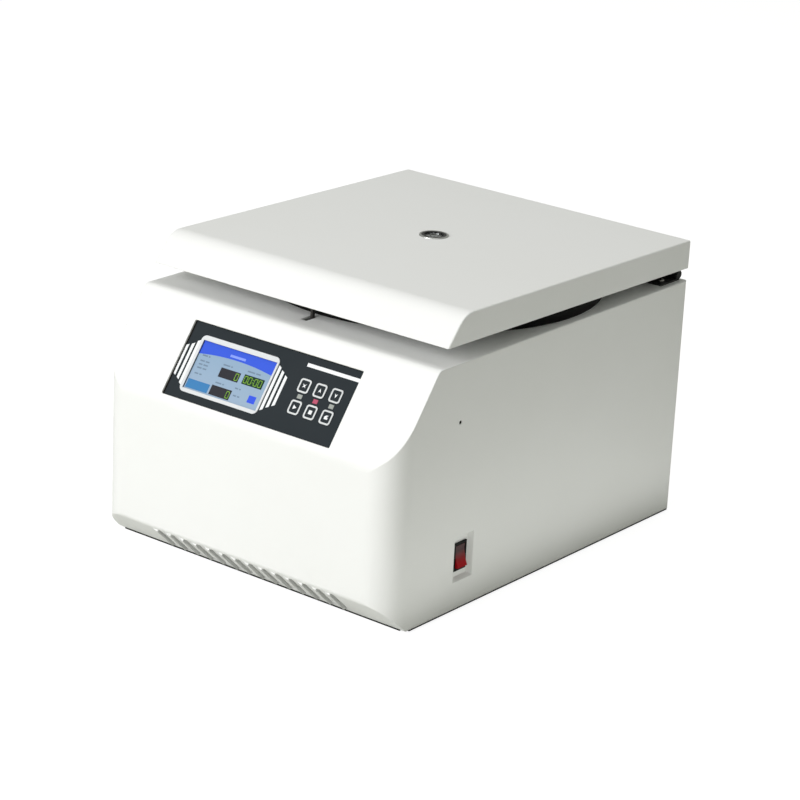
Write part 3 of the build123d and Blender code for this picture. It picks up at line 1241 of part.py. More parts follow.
def switch_rocker():
    """Red rocker on two trunnions, its lower end out at rest."""
    seat = SIDE - RECESS_DEPTH
    h = ROCKER_HEIGHT / 2
    face = ThreePointArc((ROCKER_RISE, 0, -h), (ROCKER_DIP, 0, 0), (ROCKER_RISE, 0, h))
    back = Polyline((ROCKER_RISE, 0, h), (0, 0, h), (-ROCKER_DEPTH, 0, h * 0.6), (-ROCKER_DEPTH, 0, -h * 0.6),
                    (0, 0, -h), (ROCKER_RISE, 0, -h))
    outline = make_face(face.edges() + back.edges())
    rocker = extrude(outline, ROCKER_WIDTH / 2, dir=(0, 1, 0), both=True)
    reach = SWITCH_WIDTH / 2 - SWITCH_NECK - TRUNNION_SKIN - ROCKER_GAP
    rocker += rod_y(TRUNNION, -reach, reach, 0, 0)
    return Pos(seat, SWITCH_Y, SWITCH_Z) * Rot(0, -ROCKER_TILT, 0) * rocker


def release_plug():
    """Dark plug in the emergency release hole of the right side."""
    head = SIDE - WALL - RELEASE_HEAD
    plug = rod_x(RELEASE_RADIUS, head, SIDE - RELEASE_SET, RELEASE_Y, RELEASE_Z)
    return plug + rod_x(2 * RELEASE_RADIUS, head, SIDE - WALL, RELEASE_Y, RELEASE_Z)


PIECES = {
    "outer_shell": outer_shell,
    "base_plate": base_plate,
    "rubber_feet": rubber_feet,
    "shell_screws": shell_screws,
    "rear_panel": rear_panel,
    "rear_screws": rear_screws,
    "fan_frame": fan_frame,
    "fan_impeller": fan_impeller,
    "power_inlet": power_inlet,
    "fuse_holder": fuse_holder,
    "chamber_bowl": chamber_bowl,
    "chamber_gasket": chamber_gasket,
    "guard_ring": guard_ring,
    "carrier_plate": carrier_plate,
    "support_posts": support_posts,
    "motor_housing": motor_housing,
    "motor_end_cap": motor_end_cap,
    "motor_bearings": motor_bearings,
    "motor_dampers": motor_dampers,
    "motor_bolts": motor_bolts,
    "motor_shaft": motor_shaft,
    "shaft_boot": shaft_boot,
    "rotor_body": rotor_body,
    "rotor_cover": rotor_cover,
    "rotor_knob": rotor_knob,
    "lid_shell": lid_shell,
    "lid_liner": lid_liner,
    "liner_screws": liner_screws,
    "sight_ring": sight_ring,
    "sight_glass": sight_glass,
    "deck_leaves": deck_leaves,
    "lid_leaves": lid_leaves,
    "hinge_pins": hinge_pins,
    "hinge_screws": hinge_screws,
    "lid_hook": lid_hook,
    "latch_solenoid": latch_solenoid,
    "latch_bolt": latch_bolt,
    "lid_switch": lid_switch,
    "panel_plate": panel_plate,
    "panel_backer": panel_backer,
    "backer_nuts": backer_nuts,
    "screen_bezel": screen_bezel,
    "screen_module": screen_module,
    "lamp_lenses": lamp_lenses,
    "keypad_board": keypad_board,
    "board_spacers": board_spacers,
    "control_board": control_board,
    "mains_transformer": mains_transformer,
    "drive_heat_sink": drive_heat_sink,
    "drive_board": drive_board,
    "switch_frame": switch_frame,
    "switch_rocker": switch_rocker,
    "release_plug": release_plug,
}

for name, make in PIECES.items():
    export_step(make(), "parts/" + name + ".step")

for number, spot in enumerate(key_places(), start=1):
    export_step(key(*spot), "parts/key_" + str(number) + ".step")
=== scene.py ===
"""Looks of the benchtop centrifuge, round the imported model. Lengths are metres, X right, Y back, Z up."""
import math

import bpy
import numpy as np
from mathutils import Matrix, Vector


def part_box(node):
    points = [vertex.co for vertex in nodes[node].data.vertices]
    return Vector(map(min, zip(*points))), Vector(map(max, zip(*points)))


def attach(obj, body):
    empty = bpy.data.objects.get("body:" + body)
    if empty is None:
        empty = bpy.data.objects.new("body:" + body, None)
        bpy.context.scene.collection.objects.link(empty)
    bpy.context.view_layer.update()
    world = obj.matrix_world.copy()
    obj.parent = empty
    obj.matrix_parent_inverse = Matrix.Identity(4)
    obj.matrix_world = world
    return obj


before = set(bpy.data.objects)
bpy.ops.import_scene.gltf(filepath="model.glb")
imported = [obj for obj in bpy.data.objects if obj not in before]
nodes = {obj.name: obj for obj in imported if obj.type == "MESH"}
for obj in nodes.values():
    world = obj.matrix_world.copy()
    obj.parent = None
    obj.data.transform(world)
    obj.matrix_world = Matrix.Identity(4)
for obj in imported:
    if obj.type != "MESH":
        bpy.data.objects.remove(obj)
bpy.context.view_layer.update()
MM = 0.001


def metres(values):
    """Measures given in millimetres, as metres."""
    return [v * MM for v in values]


# Camera of the photograph
CAMERA_AZIMUTH = 37.783
CAMERA_ELEVATION = 19.575
CAMERA_ROLL = 2.848
CAMERA_DISTANCE = 3.0859
CAMERA_TARGET = (0.0046, 0.0, 0.1454)
CAMERA_LENS = 127.1
SENSOR = 36.0

# Control face, in the casing's own measures
SLANT_ANGLE = 36.2
BEND_Z = 0.1817
PANEL_FACE = -1.8 * MM          # front plate's face, along the control face's normal
SCREEN_FACE = -3.0 * MM         # display's face, along the same normal
INK = 0.06 * MM                 # thickness of a printed layer
SCREEN_X = -42.75 * MM          # middle of the display
SCREEN_UP = 45.2 * MM
SCREEN_WIDTH = 101.5 * MM
SCREEN_LENGTH = 55.0 * MM
KEY_COLUMNS = (52.0 * MM, 72.8 * MM, 93.8 * MM)
KEY_ROWS = (58.1 * MM, 33.9 * MM)
KEY_WIDTH = 14.5 * MM
KEY_LENGTH = 15.5 * MM
KEY_CORNER = 3.0 * MM
KEY_FACE = PANEL_FACE + 0.4 * MM
QUARTER_POINTS = 6              # points on each round corner of an outline

FRONT_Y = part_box("outer_shell")[0].y
SWITCH_Z = (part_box("switch_frame")[0].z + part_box("switch_frame")[1].z) / 2
SIGHT_Y = (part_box("sight_ring")[0].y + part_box("sight_ring")[1].y) / 2


# Meshes

def solid_grid(name, points, wrap_rows=False, wrap_columns=False):
    """Mesh of quads over a grid of points (rows, columns, 3), closed across rows or columns where asked."""
    rows, columns = points.shape[:2]
    index = np.arange(rows * columns).reshape(rows, columns)
    below = np.roll(index, -1, axis=0) if wrap_rows else index[1:]
    above = index if wrap_rows else index[:-1]
    if wrap_columns:
        quads = np.stack([above, below, np.roll(below, -1, 1), np.roll(above, -1, 1)], -1)
    else:
        quads = np.stack([above[:, :-1], below[:, :-1], below[:, 1:], above[:, 1:]], -1)
    mesh = bpy.data.meshes.new(name)
    mesh.from_pydata(points.reshape(-1, 3).tolist(), [], quads.reshape(-1, 4).tolist())
    mesh.update()
    return add_piece(name, mesh)


def add_piece(name, mesh):
    """Object at the origin that holds a mesh."""
    piece = bpy.data.objects.new(name, mesh)
    bpy.context.scene.collection.objects.link(piece)
    return piece


def on_face(x, up, out):
    """Points on the control face: x across, up the slope from the bend line, out along the normal.
    Y is the front plus up times the lean's sine, less out times its cosine.
    Z is the bend's height plus up times the lean's cosine, plus out times its sine."""
    lean = math.radians(SLANT_ANGLE)
    x, up, out = np.broadcast_arrays(x, up, out)
    y = FRONT_Y + up * math.sin(lean) - out * math.cos(lean)
    z = BEND_Z + up * math.cos(lean) + out * math.sin(lean)
    return np.stack([x, y, z], -1)


def prints(name, outlines, low, high, place=on_face):
    """Flat prisms with the given outlines, from low to high along the surface's normal, in one mesh."""
    verts, faces, start = [], [], 0
    for outline in outlines:
        outline = np.asarray(outline, float)
        n = len(outline)
        lower = place(outline[:, 0], outline[:, 1], low)
        upper = place(outline[:, 0], outline[:, 1], high)
        verts += lower.tolist() + upper.tolist()
        ring = np.arange(n)
        after = np.roll(ring, -1)
        sides = np.stack([ring, after, after + n, ring + n], -1) + start
        faces += sides.tolist() + [(ring[::-1] + start).tolist(), (ring + n + start).tolist()]
        start += 2 * n
    mesh = bpy.data.meshes.new(name)
    mesh.from_pydata(verts, [], faces)
    mesh.update()
    return add_piece(name, mesh)


def rounded(width, length, radius, x, up):
    """Outline of a rounded rectangle: four quarter circles joined by straight sides, counter-clockwise."""
    turn = np.linspace(0, math.pi / 2, QUARTER_POINTS)
    corner = np.stack([np.cos(turn), np.sin(turn)], -1) * radius
    reach = np.array([width / 2 - radius, length / 2 - radius])
    quarter = [np.array([[0, -1], [1, 0]]), np.array([[-1, 0], [0, -1]]), np.array([[0, 1], [-1, 0]])]
    parts = [corner + reach]
    for sign, matrix in zip(((-1, 1), (-1, -1), (1, -1)), quarter):
        parts.append(corner @ matrix.T + reach * sign)
    return np.concatenate(parts) + (x, up)


def ring_print(name, outer, inner, low, high):
    """Closed flat ring on the control face, between two outlines with the same number of points."""
    rows = [on_face(outer[:, 0], outer[:, 1], low), on_face(outer[:, 0], outer[:, 1], high),
            on_face(inner[:, 0], inner[:, 1], high), on_face(inner[:, 0], inner[:, 1], low)]
    return solid_grid(name, np.stack(rows)[:, ::-1], wrap_rows=True, wrap_columns=True)


def box_outline(x0, x1, up0, up1):
    """Rectangle between two corners, counter-clockwise."""
    return [(x0, up0), (x1, up0), (x1, up1), (x0, up1)]


def ordered(outline):
    """The outline counter-clockwise, whichever way it was given."""
    points = np.asarray(outline, float)
    after = np.roll(points, -1, axis=0)
    area = np.sum(points[:, 0] * after[:, 1] - after[:, 0] * points[:, 1])
    return points if area > 0 else points[::-1]


# Materials

EDGE_SAMPLES = 6
BLOTCH_EDGES = (0.35, 0.7)      # values of the blotch noise between which the colour drifts
ROUGH_SPREAD = 0.12             # share by which the roughness varies each way


def new_material(name):
    """A new material, its node tree and its principled shader."""
    material = bpy.data.materials.new(name)
    material.use_nodes = True
    tree = material.node_tree
    return material, tree, tree.nodes["Principled BSDF"]


def add(tree, kind, **sockets):
    """Node of a kind, with the named input values set."""
    node = tree.nodes.new(kind)
    for key, value in sockets.items():
        node.inputs[key.replace("_", " ")].default_value = value
    return node


def noise(tree, scale, detail=3.0, roughness=0.5, stretch=(1, 1, 1)):
    """Noise over the object's own coordinates. Stretch multiplies them, so a large number packs the noise
    closer along that axis and a small one draws it out."""
    where = tree.nodes.new("ShaderNodeTexCoord")
    mapping = tree.nodes.new("ShaderNodeMapping")
    mapping.inputs["Scale"].default_value = stretch
    texture = add(tree, "ShaderNodeTexNoise", Scale=scale, Detail=detail, Roughness=roughness)
    tree.links.new(where.outputs["Object"], mapping.inputs["Vector"])
    tree.links.new(mapping.outputs["Vector"], texture.inputs["Vector"])
    return texture.outputs["Fac"]


def ramp(tree, source, low, high, stops):
    """Colour ramp between two places of a value."""
    node = tree.nodes.new("ShaderNodeValToRGB")
    node.color_ramp.elements[0].position = low
    node.color_ramp.elements[1].position = high
    node.color_ramp.elements[0].color = (*stops[0], 1)
    node.color_ramp.elements[1].color = (*stops[1], 1)
    tree.links.new(source, node.inputs["Fac"])
    return node.outputs["Color"]


def own_place(tree, axis):
    """The object's own coordinate along one axis."""
    where = tree.nodes.new("ShaderNodeTexCoord")
    split = tree.nodes.new("ShaderNodeSeparateXYZ")
    tree.links.new(where.outputs["Object"], split.inputs["Vector"])
    return split.outputs[axis]


def between(tree, source, low, high):
    """Rises from 0 where the source is low to 1 where it is high, and stays there outside."""
    node = tree.nodes.new("ShaderNodeMapRange")
    node.inputs["From Min"].default_value = low
    node.inputs["From Max"].default_value = high
    tree.links.new(source, node.inputs["Value"])
    return node.outputs["Result"]


def span(tree, source, low, high):
    """Maps a 0..1 value to low..high."""
    node = tree.nodes.new("ShaderNodeMapRange")
    node.inputs["To Min"].default_value = low
    node.inputs["To Max"].default_value = high
    tree.links.new(source, node.inputs["Value"])
    return node.outputs["Result"]


def bump(tree, source, distance, normal=None):
    """Bump from a 0..1 height value that stands for a distance in metres, over another normal where given."""
    node = add(tree, "ShaderNodeBump", Strength=1.0, Distance=distance)
    tree.links.new(source, node.inputs["Height"])
    if normal is not None:
        tree.links.new(normal, node.inputs["Normal"])
    return node.outputs["Normal"]


def soft_edges(tree, radius):
    """Normal that rounds the edges of a piece by a small radius."""
    node = add(tree, "ShaderNodeBevel", Radius=radius)
    node.samples = EDGE_SAMPLES
    return node.outputs["Normal"]


def finish_material(name, colour, shade, rough, grain_scale, grain_depth, edge=0.0, metallic=0.0,
                    blotch_scale=6.0, stretch=(1, 1, 1), specular=0.5):
    """General finish: colour that drifts to shade in large soft blotches, roughness that varies with them,
    and a fine grain as bump. Grain depth and edge radius are in metres."""
    material, tree, shader = new_material(name)
    blotch = noise(tree, blotch_scale, detail=4.0, roughness=0.55)
    tree.links.new(ramp(tree, blotch, *BLOTCH_EDGES, (colour, shade)), shader.inputs["Base Color"])
    least, most = rough * (1 - ROUGH_SPREAD), min(1.0, rough * (1 + ROUGH_SPREAD))
    tree.links.new(span(tree, blotch, least, most), shader.inputs["Roughness"])
    normal = soft_edges(tree, edge) if edge else None
    grain = noise(tree, grain_scale, roughness=0.6, stretch=stretch)
    tree.links.new(bump(tree, grain, grain_depth, normal), shader.inputs["Normal"])
    shader.inputs["Metallic"].default_value = metallic
    shader.inputs["Specular IOR Level"].default_value = specular
    return material


def casing_white():
    """Moulded off-white casing with a very fine leather-like grain."""
    return finish_material("casing_white", (0.86, 0.865, 0.86), (0.845, 0.85, 0.84), rough=0.42,
                           grain_scale=900, grain_depth=0.00002, edge=0.0016, blotch_scale=5)


def lid_white():
    """Powder-coated off-white sheet, with fine orange peel."""
    return finish_material("lid_white", (0.86, 0.865, 0.86), (0.845, 0.85, 0.84), rough=0.36,
                           grain_scale=420, grain_depth=0.00003, edge=0.0012, blotch_scale=4)


def liner_plastic():
    """Pale vacuum-formed liner."""
    return finish_material("liner_plastic", (0.66, 0.67, 0.66), (0.6, 0.61, 0.6), rough=0.5,
                           grain_scale=700, grain_depth=0.00002, edge=0.001)


def zinc_plate():
    """Zinc-plated sheet with spangles: cells of slightly different grey."""
    material, tree, shader = new_material("zinc_plate")
    where = tree.nodes.new("ShaderNodeTexCoord")
    cells = add(tree, "ShaderNodeTexVoronoi", Scale=90.0)
    tree.links.new(where.outputs["Object"], cells.inputs["Vector"])
    tone = tree.nodes.new("ShaderNodeSeparateColor")
    tree.links.new(cells.outputs["Color"], tone.inputs["Color"])
    tree.links.new(ramp(tree, tone.outputs["Red"], 0, 1, ((0.5, 0.51, 0.53), (0.64, 0.65, 0.67))),
                   shader.inputs["Base Color"])
    tree.links.new(span(tree, tone.outputs["Red"], 0.3, 0.5), shader.inputs["Roughness"])
    tree.links.new(soft_edges(tree, 0.0004), shader.inputs["Normal"])
    shader.inputs["Metallic"].default_value = 1.0
    return material


def grey_paint():
    """Textured grey paint of the rear panel."""
    return finish_material("grey_paint", (0.62, 0.63, 0.62), (0.58, 0.59, 0.58), rough=0.5,
                           grain_scale=1200, grain_depth=0.00004, edge=0.0005)


def drawn_stainless():
    """Stainless sheet with fine level rings from drawing: noise packed close along the height."""
    return finish_material("drawn_stainless", (0.62, 0.62, 0.62), (0.55, 0.55, 0.56), rough=0.3,
                           grain_scale=60, grain_depth=0.00002, metallic=1.0, stretch=(0.4, 0.4, 30),
                           edge=0.0005)


def machined_steel():
    """Machined steel with fine level turning marks."""
    return finish_material("machined_steel", (0.48, 0.48, 0.49), (0.4, 0.4, 0.41), rough=0.32,
                           grain_scale=80, grain_depth=0.00002, metallic=1.0, stretch=(0.5, 0.5, 20),
                           edge=0.0003)


def dark_steel():
    """Blackened steel of the hook."""
    return finish_material("dark_steel", (0.05, 0.048, 0.045), (0.09, 0.085, 0.08), rough=0.42,
                           grain_scale=500, grain_depth=0.00002, metallic=0.8, edge=0.0003)


def nickel():
    """Nickel-plated screws."""
    return finish_material("nickel", (0.66, 0.65, 0.62), (0.58, 0.57, 0.54), rough=0.22, grain_scale=900,
                           grain_depth=0.00001, metallic=1.0, edge=0.0002)


def cast_aluminium():
    """Cast aluminium with a sandy skin."""
    return finish_material("cast_aluminium", (0.56, 0.57, 0.58), (0.48, 0.49, 0.5), rough=0.45,
                           grain_scale=1400, grain_depth=0.00008, metallic=1.0, edge=0.0004)


BORE_SHADE_EDGE = (0.0137, 0.0142)    # radii between which the painted shade in the ring's bore turns to bright metal


def sight_metal():
    """Bright turned ring whose bore is painted near-black as the shade of the opening: the distance from the
    ring's own axis tells them apart.
    """
    material, tree, shader = new_material("sight_metal")
    where = tree.nodes.new("ShaderNodeTexCoord")
    middle = tree.nodes.new("ShaderNodeVectorMath")
    middle.operation = "SUBTRACT"
    middle.inputs[1].default_value = (0.0, SIGHT_Y, 0.0)
    tree.links.new(where.outputs["Object"], middle.inputs[0])
    flat = tree.nodes.new("ShaderNodeVectorMath")
    flat.operation = "MULTIPLY"
    flat.inputs[1].default_value = (1.0, 1.0, 0.0)
    tree.links.new(middle.outputs["Vector"], flat.inputs[0])
    radius = tree.nodes.new("ShaderNodeVectorMath")
    radius.operation = "LENGTH"
    tree.links.new(flat.outputs["Vector"], radius.inputs[0])
    bright = between(tree, radius.outputs["Value"], *BORE_SHADE_EDGE)
    # near-black inside the bore radius is painted shade of the opening, not the metal's own colour
    tree.links.new(ramp(tree, bright, 0, 1, ((0.006, 0.006, 0.006), (0.62, 0.63, 0.62))),
                   shader.inputs["Base Color"])
    tree.links.new(bright, shader.inputs["Metallic"])
    tree.links.new(span(tree, noise(tree, 700), 0.3, 0.42), shader.inputs["Roughness"])
    tree.links.new(soft_edges(tree, 0.0006), shader.inputs["Normal"])
    return material


def rotor_aluminium():
    """Turned and anodised rotor."""
    return finish_material("rotor_aluminium", (0.42, 0.44, 0.48), (0.36, 0.38, 0.42), rough=0.28,
                           grain_scale=120, grain_depth=0.00002, metallic=1.0, stretch=(0.5, 0.5, 12),
                           edge=0.0006)


def black_rubber():
    """Matte black rubber with a bloom of lighter dust."""
    return finish_material("black_rubber", (0.012, 0.012, 0.012), (0.022, 0.022, 0.021), rough=0.75,
                           grain_scale=1100, grain_depth=0.00005, edge=0.0006, specular=0.3)


def gasket_rubber():
    """Dense black seal with a faint moulding grain."""
    return finish_material("gasket_rubber", (0.003, 0.003, 0.003), (0.006, 0.006, 0.006), rough=0.6,
                           grain_scale=900, grain_depth=0.00004, edge=0.0008, specular=0.12)


def black_plastic():
    """Black moulded plastic with a fine spark-eroded grain."""
    return finish_material("black_plastic", (0.014, 0.014, 0.015), (0.02, 0.02, 0.021), rough=0.42,
                           grain_scale=1600, grain_depth=0.00004, edge=0.0003)


def frame_black():
    """Matte black frame of the power switch."""
    return finish_material("frame_black", (0.006, 0.006, 0.006), (0.009, 0.009, 0.009), rough=0.6,
                           grain_scale=1600, grain_depth=0.00003, edge=0.0003, specular=0.12)


def hinge_black():
    """Blackened sheet steel of the hinges."""
    return finish_material("hinge_black", (0.012, 0.012, 0.012), (0.02, 0.02, 0.02), rough=0.5,
                           grain_scale=700, grain_depth=0.00002, edge=0.0003, specular=0.25)


def panel_film():
    """Charcoal printed film, slightly blue, with a satin face."""
    return finish_material("panel_film", (0.022, 0.028, 0.033), (0.025, 0.031, 0.036), rough=0.55,
                           grain_scale=1800, grain_depth=0.00001, edge=0.0002, blotch_scale=14,
                           specular=0.08)


def pale_print():
    """White ink of the stripes, the bar and the symbols on the keys."""
    return finish_material("pale_print", (0.86, 0.875, 0.89), (0.8, 0.82, 0.845), rough=0.4,
                           grain_scale=900, grain_depth=0.00001, edge=0.0005)


def bezel_grey():
    """Pale moulded frame of the screen."""
    return finish_material("bezel_grey", (0.70, 0.715, 0.735), (0.64, 0.66, 0.685), rough=0.4,
                           grain_scale=900, grain_depth=0.00001, edge=0.0006)


def painted_shade_black():
    """Deep matte black that paints shade: the shadow strips under the casing and the shade line round the
    front plate's recess.
    """
    return finish_material("painted_shade_black", (0.004, 0.004, 0.004), (0.007, 0.007, 0.007), rough=0.7,
                           grain_scale=1200, grain_depth=0.00002, specular=0.1)


def slot_shade_mesh():
    """Painted shade inside the air slots, drawn as a black woven screen: a fine checker of black and less
    black, as colour and bump.
    """
    material, tree, shader = new_material("slot_shade_mesh")
    where = tree.nodes.new("ShaderNodeTexCoord")
    weave = add(tree, "ShaderNodeTexChecker", Scale=900.0)
    weave.inputs["Color1"].default_value = (0.004, 0.004, 0.004, 1)
    weave.inputs["Color2"].default_value = (0.02, 0.02, 0.02, 1)
    tree.links.new(where.outputs["Object"], weave.inputs["Vector"])
    tree.links.new(weave.outputs["Color"], shader.inputs["Base Color"])
    tree.links.new(bump(tree, weave.outputs["Fac"], 0.0002), shader.inputs["Normal"])
    shader.inputs["Roughness"].default_value = 0.8
    shader.inputs["Specular IOR Level"].default_value = 0.1
    return material


def key_print():
    """Light grey ink of the outline on each key."""
    return finish_material("key_print", (0.55, 0.57, 0.585), (0.66, 0.68, 0.69), rough=0.42,
                           grain_scale=900, grain_depth=0.00001)


SCREEN_HEIGHTS = (BEND_Z + 0.01, BEND_Z + 0.065)      # between which the display's colours drift


def lit(name, colour, shade, strength):
    """Lit display colour that drifts from colour to shade up the control face."""
    material, tree, shader = new_material(name)
    tint = ramp(tree, between(tree, own_place(tree, "Z"), *SCREEN_HEIGHTS), 0, 1, (colour, shade))
    tree.links.new(tint, shader.inputs["Base Color"])
    tree.links.new(tint, shader.inputs["Emission Color"])
    shader.inputs["Emission Strength"].default_value = strength
    shader.inputs["Roughness"].default_value = 0.18
    return material


def circuit_green():
    """Green solder mask with tracks: a brick pattern whose thin joints are the tracks."""
    material, tree, shader = new_material("circuit_green")
    where = tree.nodes.new("ShaderNodeTexCoord")
    tracks = add(tree, "ShaderNodeTexBrick", Scale=60.0)
    tracks.inputs["Color1"].default_value = (0.012, 0.10, 0.035, 1)
    tracks.inputs["Color2"].default_value = (0.010, 0.075, 0.028, 1)
    tracks.inputs["Mortar"].default_value = (0.03, 0.19, 0.07, 1)
    tracks.inputs["Mortar Size"].default_value = 0.03
    tree.links.new(where.outputs["Object"], tracks.inputs["Vector"])
    tree.links.new(tracks.outputs["Color"], shader.inputs["Base Color"])
    shader.inputs["Roughness"].default_value = 0.35
    return material


def clear_glass():
    """Slightly smoked sight glass."""
    material, tree, shader = new_material("clear_glass")
    haze = noise(tree, 300)
    tree.links.new(ramp(tree, haze, 0.3, 0.8, ((0.80, 0.84, 0.83), (0.76, 0.80, 0.79))),
                   shader.inputs["Base Color"])
    tree.links.new(span(tree, haze, 0.03, 0.08), shader.inputs["Roughness"])
    shader.inputs["Transmission Weight"].default_value = 1.0
    shader.inputs["IOR"].default_value = 1.49
    return material


ROCKER_SHADE_HEIGHTS = (SWITCH_Z - 0.007, SWITCH_Z + 0.006)      # between which painted shade darkens the rocker towards its sunken top


def red_rocker():
    """Translucent red rocker, with painted shade darkening it towards its top."""
    material, tree, shader = new_material("red_rocker")
    height = between(tree, own_place(tree, "Z"), *ROCKER_SHADE_HEIGHTS)
    # the darker red at the top is painted shade where the rocker's upper end sinks into its frame
    tree.links.new(ramp(tree, height, 0, 1, ((0.36, 0.001, 0.006), (0.045, 0.0005, 0.003))),
                   shader.inputs["Base Color"])
    tree.links.new(span(tree, noise(tree, 160), 0.2, 0.3), shader.inputs["Roughness"])
    shader.inputs["Specular IOR Level"].default_value = 0.2
    shader.inputs["Subsurface Weight"].default_value = 0.15
    shader.inputs["Subsurface Radius"].default_value = (0.004, 0.0008, 0.0008)
    tree.links.new(soft_edges(tree, 0.0005), shader.inputs["Normal"])
    return material


LENS_GREY = (0.30, 0.32, 0.30, 1)
LENS_ROSE = (0.42, 0.07, 0.13, 1)
LENS_RAMP = 5.0                 # places on the colour ramp for each metre along X


def lamp_lens():
    """Three small lenses: the middle one rose, the others grey, by their place along X."""
    material, tree, shader = new_material("lamp_lens")
    node = tree.nodes.new("ShaderNodeValToRGB")
    node.color_ramp.interpolation = "CONSTANT"
    elements = node.color_ramp.elements
    elements[0].color = LENS_GREY
    elements[1].position = (KEY_COLUMNS[0] + KEY_COLUMNS[1]) / 2 * LENS_RAMP
    elements[1].color = LENS_ROSE
    elements.new((KEY_COLUMNS[1] + KEY_COLUMNS[2]) / 2 * LENS_RAMP).color = LENS_GREY
    scale = tree.nodes.new("ShaderNodeMath")
    scale.operation = "MULTIPLY"
    scale.inputs[1].default_value = LENS_RAMP
    tree.links.new(own_place(tree, "X"), scale.inputs[0])
    tree.links.new(scale.outputs[0], node.inputs["Fac"])
    tree.links.new(node.outputs["Color"], shader.inputs["Base Color"])
    tree.links.new(node.outputs["Color"], shader.inputs["Emission Color"])
    shader.inputs["Emission Strength"].default_value = 0.12
    shader.inputs["Roughness"].default_value = 0.25
    return material


def laminated_core():
    """Dark laminated core: fine level lines."""
    return finish_material("laminated_core", (0.05, 0.05, 0.055), (0.08, 0.078, 0.075), rough=0.5,
                           grain_scale=30, grain_depth=0.0002, metallic=0.6, stretch=(0.1, 0.1, 40))


FINISHES = {
    casing_white: ["outer_shell"],
    lid_white: ["lid_shell"],
    liner_plastic: ["lid_liner"],
    zinc_plate: ["base_plate", "carrier_plate", "latch_solenoid"],
    grey_paint: ["rear_panel"],
    drawn_stainless: ["chamber_bowl"],
    machined_steel: ["guard_ring", "support_posts", "motor_bearings", "motor_shaft", "latch_bolt"],
    hinge_black: ["deck_leaves", "lid_leaves", "hinge_pins"],
    dark_steel: ["lid_hook"],
    nickel: ["shell_screws", "rear_screws", "motor_bolts", "liner_screws", "hinge_screws", "backer_nuts",
             "board_spacers"],
    cast_aluminium: ["motor_housing", "motor_end_cap", "drive_heat_sink"],
    sight_metal: ["sight_ring"],
    rotor_aluminium: ["rotor_body", "rotor_cover"],
    gasket_rubber: ["chamber_gasket"],
    black_rubber: ["rubber_feet", "motor_dampers", "shaft_boot", "release_plug"],
    black_plastic: ["fan_frame", "fan_impeller", "power_inlet", "fuse_holder", "rotor_knob", "lid_switch",
                    "panel_backer"],
    frame_black: ["switch_frame"],
    panel_film: ["panel_plate"] + ["key_" + str(i) for i in range(1, 7)],
    bezel_grey: ["screen_bezel"],
    circuit_green: ["keypad_board", "control_board", "drive_board"],
    clear_glass: ["sight_glass"],
    red_rocker: ["switch_rocker"],
    lamp_lens: ["lamp_lenses"],
    laminated_core: ["mains_transformer"],
}


def dress(piece, material):
    """Gives a piece one material."""
    piece.data.materials.clear()
    piece.data.materials.append(material)


def dress_nodes():
    """Puts each finish on its CAD nodes, and makes the finishes of the thin pieces too."""
    made = {}
    for recipe, names in FINISHES.items():
        made[recipe.__name__] = recipe()
        for name in names:
            dress(nodes[name], made[recipe.__name__])
    for recipe in (pale_print, key_print, painted_shade_black):
        made[recipe.__name__] = recipe()
    return made


def on_cabinet(piece, material):
    """Puts a new piece on the cabinet with its material, under the cabinet's empty."""
    dress(piece, material)
    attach(piece, "cabinet")


# Print on the front plate

STRIPE = 3.6 * MM
STRIPE_LEAN = 0.55              # rise of a stripe's ends for each millimetre across
LEFT_STRIPES = ((-111.5, 27.6, 64.0), (-105.0, 24.3, 67.0), (-99.2, 19.6, 71.7))      # x, foot and top
RIGHT_STRIPES = ((13.4, 19.8, 71.0), (19.3, 24.2, 67.0), (25.5, 27.7, 63.0))
KEY_BAR = (44.1, 114.0, 78.3, 82.3)      # left, right, lower and upper edge in millimetres
PLATE_BOX = (-114.8, 114.2, 4.7, 90.7)   # the same for the front plate
SHADE_LINE_LEFT = 2.2 * MM            # widths of the painted shade line at the plate's left, top and right edges
SHADE_LINE_TOP = 0.7 * MM
SHADE_LINE_RIGHT = 0.5 * MM


def front_print(finishes):
    """White stripes beside the screen, leaning with the frame's corners, and the bar above the keys."""
    low, high = PANEL_FACE, PANEL_FACE + INK
    outlines = []
    for side, stripes in ((1, LEFT_STRIPES), (-1, RIGHT_STRIPES)):
        for stripe in stripes:
            x, foot, top = metres(stripe)
            inner = side * STRIPE / 2
            slope = STRIPE * STRIPE_LEAN
            outlines.append(ordered([(x - inner, foot + slope), (x + inner, foot), (x + inner, top),
                                     (x - inner, top - slope)]))
    outlines.append(box_outline(*metres(KEY_BAR)))
    on_cabinet(prints("front_print", outlines, low, high), finishes["pale_print"])


def plate_shade_line(finishes):
    """Black line of painted shade along the front plate's left, top and right edges, where the plate sits in
    its recess; widest at its left.
    """
    left, right, low, high = metres(PLATE_BOX)
    # these black strips are painted shade of the recess round the plate
    outlines = [box_outline(left, left + SHADE_LINE_LEFT, low, high),
                box_outline(left + SHADE_LINE_LEFT, right, high - SHADE_LINE_TOP, high),
                box_outline(right - SHADE_LINE_RIGHT, right, low, high - SHADE_LINE_TOP)]
    piece = prints("plate_shade_line", outlines, PANEL_FACE, PANEL_FACE + INK)
    on_cabinet(piece, finishes["painted_shade_black"])


# Foot of the front

